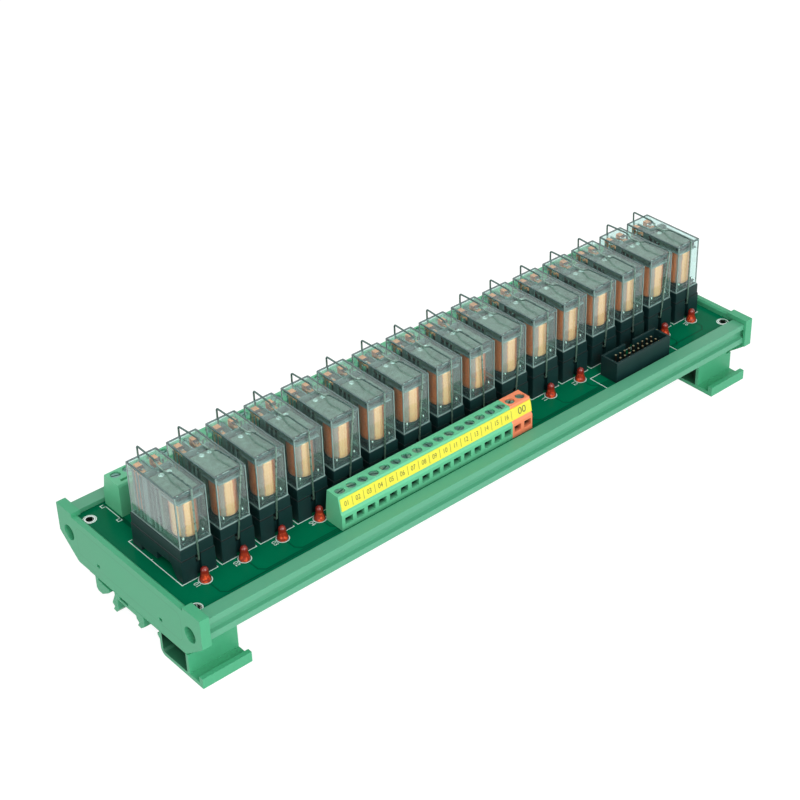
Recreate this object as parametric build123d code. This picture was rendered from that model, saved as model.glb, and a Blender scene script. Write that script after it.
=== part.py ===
from build123d import *
import os

# A sixteen-channel relay board in a snap-on carrier, in millimetres.
# X runs along the carrier, Y from the signal terminals (front) to the contact terminals (rear),
# and Z up from the underside of the rail feet. The origin is below the middle of the carrier.

# Carrier profile and board
board_top = 26.5            # height of the board's upper face over the feet's underside
board_thickness = 1.6
board_inset = 2.9           # from the carrier's outer face to the board's long edge
board_slot_play = 0.2       # free space beyond each long edge of the board
carrier_length = 270.0
carrier_width = 85.0
ledge_reach = 5.8           # how far the top ledge covers the board's margin
ledge_height = 1.95         # ledge's upper face over the board
ledge_play = 0.1            # air between the board and the ledge
shelf_thickness = 1.5
shelf_setback = 0.8         # the lower shelf ends this far short of the ledge
groove_top = 0.5            # groove in the outer face, below the board's upper face
groove_height = 4.0
groove_depth = 1.7
groove_slope = 0.4          # the groove's lower face slants by this much
skirt_drop = 7.0            # lower edge of the outer face, below the board's upper face
carrier_wall = 1.5
skirt_setback = 1.4         # the lower wall starts this far inside the outer face
floor_inset = 6.3           # and slants in to the floor's edge, this far inside the outer face
floor_drop = 11.5           # floor's upper face, below the board's upper face
floor_thickness = 1.5
foot_rail_y = 27.0          # T-shaped rails under the floor that carry the feet
foot_rail_web = 1.6
foot_rail_flange = 4.6
foot_rail_neck = 1.8
foot_rail_cap = 1.2
screw_port_inset = 5.5      # from the carrier's outer face
screw_port_drop = 5.8
screw_port_bore = 2.6
screw_port_wall = 1.0
corner_hole_d = 3.2
corner_hole_inset_x = 3.1
corner_hole_front = 6.6     # from the board's front edge
corner_hole_rear = 8.0      # from the board's rear edge

# End caps
cap_thickness = 2.7
cap_lip = 0.65              # the caps stand this far above the ledge
cap_drop = 16.6             # caps reach this far below the board's upper face
cap_side_drop = 8.2
cap_overhang = 1.2          # caps stand this far outside the carrier's sides
cap_slope_inset = 10.7      # slanted lower corners meet the underside this far from the cap's sides
cap_edge_chamfer = 0.7      # outer top edge
cap_corner_radius = 2.5
cap_hole_d = 6.2
block_length = 9.8          # raised corner blocks, along Y
block_rise = 2.05           # over the ledge
block_wrap = 1.1            # how far they reach over the carrier
block_play = 0.1
key_slot_y = 19.2
key_slot_width = 1.7
key_slot_height = 1.3
key_slot_drop = 10.5

# Rail feet
foot_length = 20.2          # along X, with the end that passes under the cap
foot_wall = 1.5
foot_base = 1.7
foot_web = 3.8              # the web hangs below the caps, so that the rail passes under them
foot_front_wall_y = -34.0
foot_box_rear_y = -17.0
foot_lip_y = -41.6
foot_lip_thickness = 2.0
foot_lip_height = 4.2
foot_corner_radius = 2.6
foot_play = 0.1
rail_width = 35.0           # mounting rail that the feet clip on
rail_play = 0.2
rail_flange = 1.0
tooth_reach = 1.2
tooth_height = 2.4
tooth_slant = 0.3
hook_thickness = 4.4
hook_drop = 6.1             # latch hook, below the web
hook_bevel = 1.0
hook_skin = 1.9             # outer wall, thin so that the hook springs
hook_step = 0.4             # step that the rail's edge bears on
hook_toe = 3.6              # the underside's flat part
hook_nose_reach = 4.3       # the nose reaches this far under the rail's edge
hook_nose_height = 2.1
hook_nose_bevel = 0.9
arm_thickness = 1.1         # arm under the web, between the claws
arm_gap = 1.2               # slot between that arm and the web
arm_slot_front = 1.8
arm_slot_rear = 7.2
claw_length = 4.0           # locating claws, along X
claw_front_y = -2.6         # rear face of each claw at its root
claw_rear_y = 10.4
claw_front_lean = -0.3      # from the root to the shoulder, backwards
claw_rear_lean = 2.3
claw_front_drop = 3.5       # shoulder below the web
claw_rear_drop = 5.9
claw_front_depth = 5.0      # along Y, at the root
claw_rear_depth = 1.5
claw_notch = 1.4            # notch below the shoulder, and the barb and toe under it
claw_notch_drop = 1.0
claw_barb = 0.3
claw_barb_drop = 2.8
claw_toe = 2.2
claw_toe_drop = 3.1

# Relays, sockets and clips
relay_count = 16
relay_left_margin = 7.5     # from the board's left end to the first relay's cover
relay_right_margin = 5.55   # from the last cover to the board's right end
relay_setback = 5.6         # from the signal terminals to the relays' covers
socket_height = 13.6
socket_band = 4.3           # upper tier, carries the relay
socket_skirt_play = 0.4     # upper tier stands this far outside the cover
socket_front_leg = 6.6
socket_front_foot = 3.6      # the front leg narrows to this at the board
socket_rear_leg = 5.4
socket_leg_proud = 0.25
socket_front_arch = 5.3     # open height behind the front leg
socket_rear_arch = 2.2      # and before the rear leg
socket_arch_step = 15.0     # where the two meet, from the socket's front face
clip_notch_width = 2.1
clip_notch_depth = 1.5
cover_width = 12.45
cover_length = 28.9
cover_height = 21.3
cover_wall = 0.6
cover_corner = 0.4
relay_base_height = 0.6
relay_base_play = 0.1
barrier_thickness = 0.6
barrier_length = 9.8
barrier_height = 18.4
coil_diameter = 8.8
coil_centre_y = 5.0         # from the cover's front face
bobbin_flange = 0.6
bobbin_width = 9.8
bobbin_core = 3.6
bobbin_setback = 0.6        # the flanges' front edges are trimmed by this much
bobbin_play = 0.05
winding_height = 14.9
yoke_thickness = 1.3
yoke_width = 9.4
yoke_leg_y = 10.0           # front face of the yoke's upright, from the cover's front face
core_side = 2.6
core_rise = 0.5             # the core's pole face over the bobbin
pole_gap = 0.42             # air between the core and the armature at rest
armature_thickness = 1.1
armature_width = 9.6
armature_front = 1.0        # from the cover's front face
armature_rear = 16.6
armature_corner = 1.0
armature_seat_play = 0.05
card_depth = 1.5
card_front_play = 0.9       # from the yoke's rear face
card_length = 4.6
card_margin = 0.3           # the card is this much narrower than the plate, each side
blade_rise = 0.45           # the blades leave the card this far over its underside
spring_thickness = 0.3
spring_width = 2.2
spring_offset = 3.2         # pole's middle line, from the relay's middle line
spring_end = 25.6
contact_thickness = 0.3
contact_gap = 0.35          # blade to lower contact finger
contact_travel = 1.85       # lower finger to upper finger
lower_contact_y = 22.0
upper_contact_y = 27.0
upper_finger = 3.4
clip_wire = 0.76
clip_play = 0.07
clip_hook_z = 6.9
clip_front_rise = 1.9       # middle of the wire over the cover, front run
clip_rear_rise = 2.4
clip_bend_1 = 10.9          # bends along the top run, from the cover's front face
clip_bend_2 = 13.4
clip_bend_3 = 18.4
clip_bend_4 = 20.6
clip_rear_reach = 1.9       # rear corner, behind the cover
clip_rear_dip = 0.3
clip_rear_lean = 0.5

# Indicator lamps
lamp_diameter = 3.0
lamp_height = 5.6
lamp_shoulder = 30          # degrees
lamp_flange_d = 4.1
lamp_flange_height = 1.2
lamp_offset_x = 6.3         # from the left face of the relay's cover
lamp_offset_y = 3.5         # in front of the cover

# Terminal blocks
pole_pitch = 5.08
terminal_height = 13.6
terminal_front_height = 6.4
signal_depth = 9.0
signal_top_depth = 7.9
signal_rear_height = 5.5    # the rear face slants above this
contact_depth = 11.0
contact_top_depth = 10.6
contact_rear_height = 12.8
terminal_ledge = 0.5
terminal_ledge_rise = 0.6
terminal_top_start = 1.8
terminal_end_wall = 0.5     # closes the left end of each row
terminal_screw_y = 4.5
terminal_screw_hole = 4.1
terminal_screw_depth = 4.2
wire_entry_width = 3.4
wire_entry_height = 2.9
wire_entry_sill = 2.1
wire_entry_depth = 6.5
wire_entry_offset = 0.95
signal_poles = 16
common_poles = 2
signal_end_margin = 64.6    # from the board's left end to the first pole
signal_ledge_gap = 2.3      # from the front ledge to the signal terminals
contact_end_margin = 12.7
contact_free_end = 12.9     # at least this much board stays free at the other end
contact_ledge_gap = 1.0
marker_groove_width = 1.3
marker_groove_depth = 1.5
marker_groove_y = 9.3       # its front wall, from the wire entries' face
marker_groove_end = 2.0     # from the terminals' ends
label_thickness = 0.3
label_margin_low = 0.75
label_margin_high = 1.2

# Box header
header_end_margin = 38.1    # from the board's right end
header_ledge_gap = 1.6
header_length = 30.6
header_width = 8.8
header_height = 9.1
header_wall = 1.0
header_floor = 2.4
header_key_width = 4.5
header_key_depth = 6.0
pin_columns = 9
pin_pitch = 2.54
pin_side = 0.64
pin_height = 8.4

# Round parts that repeat on every channel or pole are drawn with few sides
coil_sides = 8
lamp_sides = 6
screw_hole_sides = 8
contact_hole_sides = 6
clip_sides = 4

# Values that follow from the sizes above
board_bottom = board_top - board_thickness
half_width = carrier_width / 2
half_length = carrier_length / 2
half_board = half_width - board_inset
ledge_inner = half_width - ledge_reach
screw_port_y = half_width - screw_port_inset
ledge_top = board_top + ledge_height
floor_top = board_top - floor_drop
floor_bottom = floor_top - floor_thickness
web_bottom = floor_bottom - foot_web
cap_outer_x = half_length + cap_thickness
socket_top = board_top + socket_height
cover_top = socket_top + cover_height
signal_x = signal_end_margin - half_length
signal_y = signal_ledge_gap - ledge_inner
contact_x = contact_end_margin - half_length
contact_y = ledge_inner - contact_ledge_gap
contact_poles = int((carrier_length - contact_end_margin - contact_free_end) / pole_pitch)
header_x = half_length - header_end_margin - header_length
header_y = header_ledge_gap - ledge_inner
relay_front_y = signal_y + signal_depth + relay_setback
relay_room = carrier_length - relay_left_margin - relay_right_margin - cover_width
relay_pitch = relay_room / (relay_count - 1)
relay_x = [relay_left_margin - half_length + i * relay_pitch for i in range(relay_count)]
relay_middle_x = [x + cover_width / 2 for x in relay_x]

os.makedirs("parts", exist_ok=True)


def block(x0, x1, y0, y1, z0, z1):
    """Box between two corners."""
    return Pos((x0 + x1) / 2, (y0 + y1) / 2, (z0 + z1) / 2) * Box(x1 - x0, y1 - y0, z1 - z0)


def prism(points, x0, x1):
    """Outline of (y, z) points, drawn out along X."""
    face = make_face(Plane.YZ.offset(x0) * Polyline(*points, close=True))
    return extrude(face, x1 - x0, dir=(1, 0, 0))


def rod(x, y, z0, z1, diameter):
    """Upright cylinder."""
    return Pos(x, y, (z0 + z1) / 2) * Cylinder(diameter / 2, z1 - z0)


def post(x, y, z0, z1, diameter, sides, inside=True):
    """Upright prism with a regular outline, its corners (or its flats) on the circle."""
    outline = Rot(0, 0, 180 / sides) * RegularPolygon(diameter / 2, sides, major_radius=inside)
    return extrude(Pos(x, y, z0) * outline, z1 - z0)


def bore(y, z, x0, x1, diameter):
    """Cylinder along X."""
    return Pos((x0 + x1) / 2, y, z) * Rot(0, 90, 0) * Cylinder(diameter / 2, abs(x1 - x0))


def save(name, solids):
    """Write one node, as one solid or as a group of separate ones."""
    solids = solids if isinstance(solids, list) else [solids]
    flat = [s for shape in solids for s in shape.solids()]
    export_step(flat[0] if len(flat) == 1 else Compound(children=flat), f"parts/{name}.step")


def each_relay(pieces):
    """Repeat the first relay's solids at every channel."""
    return [Pos(x - relay_x[0], 0, 0) * p for x in relay_x for p in pieces]


# Carrier: one extrusion, the same on both sides of its middle line
def carrier_half(side):
    wall_outer = half_width - skirt_setback
    wall_inner = wall_outer - carrier_wall
    floor_edge, skirt_bottom = half_width - floor_inset, board_top - skirt_drop
    slant = (wall_outer - floor_edge) / (skirt_bottom - floor_bottom)
    slant_width = carrier_wall * (1 + slant ** 2) ** 0.5
    slot_end = half_board + board_slot_play
    outline = [
        (0, floor_top), (floor_edge + slant * floor_thickness - slant_width, floor_top),
        (wall_inner, skirt_bottom + (slant_width - carrier_wall) / slant),
        (wall_inner, board_bottom - shelf_thickness),
        (ledge_inner + shelf_setback, board_bottom - shelf_thickness),
        (ledge_inner + shelf_setback, board_bottom), (slot_end, board_bottom),
        (slot_end, board_top + ledge_play), (ledge_inner, board_top + ledge_play),
        (ledge_inner, ledge_top), (half_width, ledge_top),
        (half_width, board_top - groove_top), (half_width - groove_depth, board_top - groove_top),
        (half_width - groove_depth, board_top - groove_top - groove_height + groove_slope),
        (half_width, board_top - groove_top - groove_height),
        (half_width, skirt_bottom), (wall_outer, skirt_bottom),
        (floor_edge, floor_bottom), (0, floor_bottom),
    ]
    half = prism([(side * y, z) for y, z in outline], -half_length, half_length)
    neck_bottom = floor_bottom - foot_rail_neck
    for width, z0, z1 in ((foot_rail_web, neck_bottom, floor_bottom),
                          (foot_rail_flange, neck_bottom - foot_rail_cap, neck_bottom)):
        half += block(-half_length, half_length, side * foot_rail_y - width / 2,
                      side * foot_rail_y + width / 2, z0, z1)
    port_z = board_top - screw_port_drop
    port_r = screw_port_bore / 2 + screw_port_wall
    half += block(-half_length, half_length, *sorted((side * (screw_port_y - port_r), side * wall_inner)),
                  port_z - port_r, port_z + port_r)
    half -= bore(side * screw_port_y, port_z, -half_length, half_length, screw_port_bore)
    return half


carrier = carrier_half(1) + carrier_half(-1)
save("carrier_profile", carrier)

# Circuit board, slid into the carrier's slots
board = block(-half_length, half_length, -half_board, half_board, board_bottom, board_top)
corner_hole_x = half_length - corner_hole_inset_x
corner_holes = [(sx * corner_hole_x, y) for sx in (-1, 1)
                for y in (corner_hole_front - half_board, half_board - corner_hole_rear)]
board -= [rod(x, y, board_bottom, board_top, corner_hole_d) for x, y in corner_holes]
save("circuit_board", board)


# End caps: a plate with slanted lower corners, and blocks that wrap the carrier's upper corners
def end_cap(side):
    inner, outer = side * half_length, side * cap_outer_x
    x0, x1 = sorted((inner, outer))
    y_side = half_width + cap_overhang
    right = [(y_side, ledge_top + cap_lip), (y_side, board_top - cap_side_drop),
             (y_side - cap_slope_inset, board_top - cap_drop)]
    plate = prism(right + [(-y, z) for y, z in reversed(right)], x0, x1)
    lower = plate.edges().filter_by(Axis.X).filter_by(lambda e: e.center().Z < board_top)
    plate = fillet(lower, cap_corner_radius)
    top_edge = plate.faces().sort_by(Axis.Z)[-1].edges().filter_by(Axis.Y).sort_by(Axis.X)[side // 2]
    plate = chamfer(top_edge, cap_edge_chamfer)
    reach = sorted((outer, inner - side * block_wrap))
    for s in (-1, 1):
        ys = sorted((s * y_side, s * (y_side - block_length)))
        corner = block(*reach, *ys, board_top - cap_side_drop, ledge_top + block_rise)
        keep_out = block(*sorted((inner, inner - side * (block_wrap + 1))),
                         *sorted((0, s * (half_width + block_play))),
                         board_top - cap_drop, ledge_top + block_play)
        plate += corner - keep_out
        plate -= bore(s * screw_port_y, board_top - screw_port_drop, x0, x1, cap_hole_d)
        slot_x = sorted((outer, outer - side * cap_thickness / 2))
        plate -= block(*slot_x, s * key_slot_y - key_slot_width / 2, s * key_slot_y + key_slot_width / 2,
                       board_top - key_slot_drop - key_slot_height / 2,
                       board_top - key_slot_drop + key_slot_height / 2)
    return plate


save("end_cap_left", end_cap(-1))
save("end_cap_right", end_cap(1))


# Rail feet: one moulding with a box, a screwdriver lip, a front tooth, a latch hook and claws
def rail_foot(x0):
    x1 = x0 + foot_length
    wall_y, box_y, lip_y = foot_front_wall_y, foot_box_rear_y, foot_lip_y
    web_end = foot_rail_y - foot_rail_web / 2 - foot_play
    foot = block(x0, x1, wall_y, web_end, web_bottom, floor_bottom)
    foot += block(x0, x1, wall_y, box_y, 0, floor_bottom)
    foot = fillet(foot.edges().filter_by(Axis.X).sort_by(Axis.Z)[:2].sort_by(Axis.Y)[-1], foot_corner_radius)
    hollow = block(x0, x1, wall_y + foot_wall, box_y - foot_wall, foot_base, web_bottom)
    hollow = fillet(hollow.edges().filter_by(Axis.X).sort_by(Axis.Z)[:2].sort_by(Axis.Y)[-1],
                    foot_corner_radius - foot_wall)
    foot -= hollow
    foot += block(x0, x1, lip_y, wall_y + foot_wall, 0, foot_base)
    foot += block(x0, x1, lip_y, lip_y + foot_lip_thickness, 0, foot_lip_height)
    # T-slots that slide over the carrier's rails
    neck_z = floor_bottom - foot_rail_neck
    for s in (-1, 1):
        for width, za, zb in ((foot_rail_web, neck_z, floor_bottom),
                              (foot_rail_flange, neck_z - foot_rail_cap - foot_play, neck_z)):
            half = width / 2 + foot_play
            foot -= block(x0, x1, s * foot_rail_y - half, s * foot_rail_y + half, za, zb)
    # Front tooth under the rail's fixed edge
    tooth_z = web_bottom - rail_flange - rail_play
    tip_z = tooth_z - tooth_slant
    foot += prism([(box_y, tooth_z), (box_y + tooth_reach, tip_z),
                   (box_y + tooth_reach, tip_z - tooth_height / 3), (box_y, tooth_z - tooth_height)], x0, x1)
    # Latch hook behind the rail's other edge
    hook_y = box_y + rail_width + rail_play
    end_y, low, nose_z = hook_y + hook_thickness, web_bottom - hook_drop, tooth_z
    inner_y, nose_y = end_y - hook_skin, hook_y - hook_nose_reach
    foot += prism([(end_y, floor_bottom), (end_y, low + hook_bevel), (end_y - hook_bevel, low),
                   (end_y - hook_toe, low), (nose_y + hook_nose_bevel, nose_z - hook_nose_height),
                   (nose_y, nose_z - hook_nose_height + hook_nose_bevel), (nose_y, nose_z), (hook_y, nose_z),
                   (hook_y, nose_z + hook_step), (inner_y, nose_z + hook_step), (inner_y, floor_bottom)],
                  x0, x1)
    # Arm and claws that reach into the rail's channel
    arm_top = web_bottom - arm_gap
    foot += block(x0, x1, claw_front_y, claw_rear_y, arm_top - arm_thickness, floor_bottom)
    foot -= block(x0, x1, arm_slot_front, arm_slot_rear, arm_top, web_bottom)
    for root, lean, drop, depth in ((claw_front_y, claw_front_lean, claw_front_drop, claw_front_depth),
                                    (claw_rear_y, claw_rear_lean, claw_rear_drop, claw_rear_depth)):
        y, z = root + lean, web_bottom - drop
        for xa in (x0, x1 - claw_length):
            foot += prism([(root, floor_bottom), (root, arm_top), (y, z),
                           (y - claw_notch, z - claw_notch_drop), (y - claw_barb, z - claw_barb_drop),
                           (y - claw_toe, z - claw_toe_drop), (root - depth, z - claw_notch_drop),
                           (root - depth, floor_bottom)], xa, xa + claw_length)
    # The end that passes under the cap is cut down to clear it
    inner = half_length - foot_play
    for xa, xb in ((-cap_outer_x, -inner), (inner, cap_outer_x)):
        foot -= block(xa, xb, lip_y, half_width, board_top - cap_drop - foot_play, floor_bottom)
    return foot


save("rail_foot_left", rail_foot(-cap_outer_x))
save("rail_foot_right", rail_foot(cap_outer_x - foot_length))

# Sockets: two tiers, legs at the front and rear, a notch at each end for the clip
x0, x1 = relay_x[0], relay_x[0] + cover_width
mid = relay_middle_x[0]
y0, y1 = relay_front_y, relay_front_y + cover_length
band_bottom = socket_top - socket_band
skirt = socket_skirt_play
proud = skirt + socket_leg_proud
front, rear = y0 - proud, y1 + proud
socket = block(x0 - skirt, x1 + skirt, y0 - skirt, y1 + skirt, band_bottom, socket_top)
socket += prism([(front, board_top), (front + socket_front_foot, board_top),
                 (front + socket_front_leg, board_top + socket_front_arch),
                 (front + socket_arch_step, board_top + socket_front_arch),
                 (front + socket_arch_step, board_top + socket_rear_arch),
                 (rear - socket_rear_leg, board_top + socket_rear_arch), (rear - socket_rear_leg, board_top),
                 (rear, board_top), (rear, band_bottom), (front, band_bottom)], x0 - proud, x1 + proud)
notch_half = clip_notch_width / 2
for ya, yb in ((front, front + clip_notch_depth), (rear - clip_notch_depth, rear)):
    socket -= block(mid - notch_half, mid + notch_half, ya, yb, board_top, band_bottom)
save("relay_sockets", each_relay([socket]))

# Relay bases, with the barrier between the two poles
inset = cover_wall + relay_base_play
base_top = socket_top + relay_base_height
base = block(x0 + inset, x1 - inset, y0 + inset, y1 - inset, socket_top, base_top)
base += block(mid - barrier_thickness / 2, mid + barrier_thickness / 2, y1 - inset - barrier_length,
              y1 - inset, socket_top, base_top + barrier_height)
save("relay_bases", each_relay([base]))

# Clear covers
cover = block(x0, x1, y0, y1, socket_top, cover_top)
cover = chamfer(cover.edges().filter_by(Axis.Z), cover_corner)
cover -= block(x0 + cover_wall, x1 - cover_wall, y0 + cover_wall, y1 - cover_wall, socket_top,
               cover_top - cover_wall)
save("relay_covers", each_relay([cover]))

# Electromagnet: L-shaped yoke and core, bobbin, winding
coil_y = y0 + coil_centre_y
bobbin_low = base_top + yoke_thickness
bobbin_high = bobbin_low + winding_height + 2 * bobbin_flange
upright_y = y0 + yoke_leg_y
pole_top = bobbin_high + core_rise
hinge_z = pole_top + pole_gap
hinge_y = upright_y + yoke_thickness
yoke = block(mid - yoke_width / 2, mid + yoke_width / 2, coil_y - bobbin_core / 2, hinge_y,
             base_top, bobbin_low)
yoke += block(mid - yoke_width / 2, mid + yoke_width / 2, upright_y, hinge_y,
              base_top, hinge_z - armature_seat_play)
yoke += block(mid - core_side / 2, mid + core_side / 2, coil_y - core_side / 2, coil_y + core_side / 2,
              bobbin_low, pole_top)
save("magnet_yokes", each_relay([yoke]))

core_hole = block(mid - core_side / 2, mid + core_side / 2, coil_y - core_side / 2,
                  coil_y + core_side / 2, bobbin_low, bobbin_high)
tube = block(mid - bobbin_core / 2, mid + bobbin_core / 2, coil_y - bobbin_core / 2,
             coil_y + bobbin_core / 2, bobbin_low, bobbin_high)
bobbin_front = coil_y - bobbin_width / 2 + bobbin_setback
bobbin = tube
for z in (bobbin_low, bobbin_high - bobbin_flange):
    bobbin += block(mid - bobbin_width / 2, mid + bobbin_width / 2, bobbin_front, upright_y - bobbin_play,
                    z, z + bobbin_flange)
save("coil_bobbins", each_relay([bobbin - core_hole]))

winding = post(mid, coil_y, bobbin_low + bobbin_flange, bobbin_high - bobbin_flange, coil_diameter,
               coil_sides) - tube
save("coil_windings", each_relay([winding]))

# Armatures: a rocking plate on the yoke's upper edge, with the card and contact springs below it
card_y = hinge_y + card_front_play
card_z = hinge_z - card_depth
blade_z = card_z + blade_rise
armature = block(mid - armature_width / 2, mid + armature_width / 2, y0 + armature_front,
                 y0 + armature_rear, hinge_z, hinge_z + armature_thickness)
armature = chamfer(armature.edges().filter_by(Axis.Z).sort_by(Axis.Y)[:2], armature_corner)
card_half = armature_width / 2 - card_margin
springs = block(mid - card_half, mid + card_half, card_y, card_y + card_length, card_z, hinge_z)
for s in (-1, 1):
    springs += block(mid + s * spring_offset - spring_width / 2, mid + s * spring_offset + spring_width / 2,
                     card_y + card_length, y0 + spring_end, blade_z, blade_z + spring_thickness)
for i, x in enumerate(relay_x):
    move = Pos(x - relay_x[0], 0, 0)
    save(f"armature_{i + 1:02d}", move * armature)
    save(f"contact_springs_{i + 1:02d}", move * springs)

# Fixed contacts: an upper and a lower finger for each pole
lower_z = blade_z - contact_gap
fixed = []
for s in (-1, 1):
    xa, xb = mid + s * spring_offset - spring_width / 2, mid + s * spring_offset + spring_width / 2
    ly, uy = y0 + lower_contact_y, y0 + upper_contact_y
    fixed.append(block(xa, xb, ly, ly + contact_thickness, base_top, lower_z))
    top = lower_z + contact_travel + contact_thickness
    fixed.append(block(xa, xb, uy, uy + contact_thickness, base_top, top)
                 + block(xa, xb, uy - upper_finger, uy, top - contact_thickness, top))
save("fixed_contacts", each_relay(fixed))

# Retaining clips: one bent wire over each relay
front_y = y0 - skirt - clip_play - clip_wire / 2
rear_y = y1 + clip_rear_reach
notch_floor = front + clip_notch_depth
touch_z = cover_top + clip_play + clip_wire / 2
hook_z = board_top + clip_hook_z
route = [(notch_floor - clip_play, hook_z), (front_y, hook_z),
         (front_y, cover_top + clip_front_rise), (y0 + clip_bend_1, cover_top + clip_front_rise),
         (y0 + clip_bend_2, touch_z), (y0 + clip_bend_3, touch_z),
         (y0 + clip_bend_4, cover_top + clip_rear_rise - clip_rear_dip), (rear_y, cover_top + clip_rear_rise),
         (rear_y - clip_rear_lean, hook_z), (rear - clip_notch_depth + clip_play, hook_z)]
path = Polyline(*[(mid, y, z) for y, z in route])
wire = Plane(origin=path @ 0, x_dir=(1, 0, 0), z_dir=path % 0) * Rot(0, 0, 180 / clip_sides) \
    * RegularPolygon(clip_wire / 2, clip_sides, major_radius=False)
clip = sweep(wire, path, transition=Transition.RIGHT)
save("retaining_clips", each_relay([clip]))

# Indicator lamps
lamp_x, lamp_y = relay_x[0] + lamp_offset_x, relay_front_y - lamp_offset_y
shoulder_z = board_top + lamp_height - lamp_diameter / 2
lamp = post(lamp_x, lamp_y, board_top, board_top + lamp_flange_height, lamp_flange_d, lamp_sides)
lamp += post(lamp_x, lamp_y, board_top, shoulder_z, lamp_diameter, lamp_sides)
lamp += extrude(lamp.faces().sort_by(Axis.Z)[-1], lamp_diameter / 2, taper=lamp_shoulder)
save("indicator_lamps", each_relay([lamp]))


# Terminal blocks: one section, drawn out over its poles; flip turns the wire entries to the rear
def terminal(x0, poles, y_face, rear, wall=0, flip=1, sides=screw_hole_sides):
    z0 = board_top
    depth, top_depth, rear_height = rear
    slope_foot = terminal_front_height + terminal_ledge_rise
    section = [(0, 0), (0, terminal_front_height), (terminal_ledge, slope_foot),
               (terminal_top_start, terminal_height), (top_depth, terminal_height),
               (depth, rear_height), (depth, 0)]
    body = prism([(y_face + flip * y, z0 + z) for y, z in section], x0 - wall, x0 + poles * pole_pitch)
    cuts = []
    for i in range(poles):
        xs = x0 + i * pole_pitch
        cuts.append(post(xs + pole_pitch / 2, y_face + flip * terminal_screw_y,
                         z0 + terminal_height - terminal_screw_depth, z0 + terminal_height,
                         terminal_screw_hole, sides, False))
        ys = sorted((y_face, y_face + flip * wire_entry_depth))
        cuts.append(block(xs + wire_entry_offset, xs + wire_entry_offset + wire_entry_width, *ys,
                          z0 + wire_entry_sill, z0 + wire_entry_sill + wire_entry_height))
    return body - cuts


signal_rear = (signal_depth, signal_top_depth, signal_rear_height)
save("signal_terminals", terminal(signal_x, signal_poles, signal_y, signal_rear, terminal_end_wall))
common_x = signal_x + signal_poles * pole_pitch
save("common_terminals", terminal(common_x, common_poles, signal_y, signal_rear))
contact_rear = (contact_depth, contact_top_depth, contact_rear_height)
contact_block = terminal(contact_x, contact_poles, contact_y, contact_rear, terminal_end_wall, -1,
                         contact_hole_sides)
groove_y = contact_y - marker_groove_y
contact_block -= block(contact_x + marker_groove_end,
                       contact_x + contact_poles * pole_pitch - marker_groove_end, groove_y,
                       groove_y + marker_groove_width,
                       board_top + terminal_height - marker_groove_depth, board_top + terminal_height)
save("contact_terminals", contact_block)

# Label strip on the slanted face above the wire entries
slope_low = Vector(0, signal_y + terminal_ledge, board_top + terminal_front_height + terminal_ledge_rise)
slope_high = Vector(0, signal_y + terminal_top_start, board_top + terminal_height)
along = (slope_high - slope_low).normalized()
away = Vector(0, -along.Z, along.Y)
low, high = slope_low + along * label_margin_low, slope_high - along * label_margin_high
strip = [low, high, high + away * label_thickness, low + away * label_thickness]
save("label_strip", prism([(v.Y, v.Z) for v in strip], signal_x,
                          common_x + common_poles * pole_pitch))

# Box header: shell with a keying gap in its rear wall, and the pins
hx1, hy1, hz1 = header_x + header_length, header_y + header_width, board_top + header_height
shell = block(header_x, hx1, header_y, hy1, board_top, hz1)
shell -= block(header_x + header_wall, hx1 - header_wall, header_y + header_wall, hy1 - header_wall,
               board_top + header_floor, hz1)
key_x = header_x + header_length / 2
shell -= block(key_x - header_key_width / 2, key_x + header_key_width / 2, hy1 - header_wall, hy1,
               hz1 - header_key_depth, hz1)
save("header_shell", shell)
pins = []
for i in range(pin_columns):
    for j in (-0.5, 0.5):
        px = key_x + (i - (pin_columns - 1) / 2) * pin_pitch
        py = header_y + header_width / 2 + j * pin_pitch
        pins.append(block(px - pin_side / 2, px + pin_side / 2, py - pin_side / 2, py + pin_side / 2,
                          board_top + header_floor, board_top + pin_height))
save("header_pins", pins)
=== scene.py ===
"""Relay module board: surfaces, printing, coils, clips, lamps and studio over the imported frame."""
import math

import bpy
import numpy as np
from bpy.props import FloatProperty, FloatVectorProperty, PointerProperty
from mathutils import Matrix, Vector


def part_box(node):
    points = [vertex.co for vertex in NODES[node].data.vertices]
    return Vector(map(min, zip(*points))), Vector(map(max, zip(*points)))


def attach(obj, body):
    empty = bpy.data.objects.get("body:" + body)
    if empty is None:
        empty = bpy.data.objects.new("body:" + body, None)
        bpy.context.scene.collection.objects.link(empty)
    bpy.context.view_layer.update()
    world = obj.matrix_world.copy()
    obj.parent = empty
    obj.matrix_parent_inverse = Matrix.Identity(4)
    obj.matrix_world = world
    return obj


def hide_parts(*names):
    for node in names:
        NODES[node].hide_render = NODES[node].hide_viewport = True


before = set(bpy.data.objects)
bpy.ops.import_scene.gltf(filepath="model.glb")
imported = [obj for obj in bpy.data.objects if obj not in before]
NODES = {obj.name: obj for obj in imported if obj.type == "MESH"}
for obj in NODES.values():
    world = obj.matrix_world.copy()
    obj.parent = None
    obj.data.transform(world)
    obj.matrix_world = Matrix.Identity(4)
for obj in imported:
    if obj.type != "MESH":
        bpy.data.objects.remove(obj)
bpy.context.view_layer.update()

bl_info = {
    "name": "Relay Module Board",
    "version": (1, 0, 0),
    "blender": (4, 5, 0),
    "location": "View3D > Sidebar > Relay Board",
    "description": "Dresses a rail-mount relay board over its packed frame",
    "category": "Add Mesh",
}

MM = 0.001


def span(node):
    """Lowest and highest corner of a CAD node, as a 2 by 3 array in metres."""
    return np.array([list(c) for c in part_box(node)])


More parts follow.
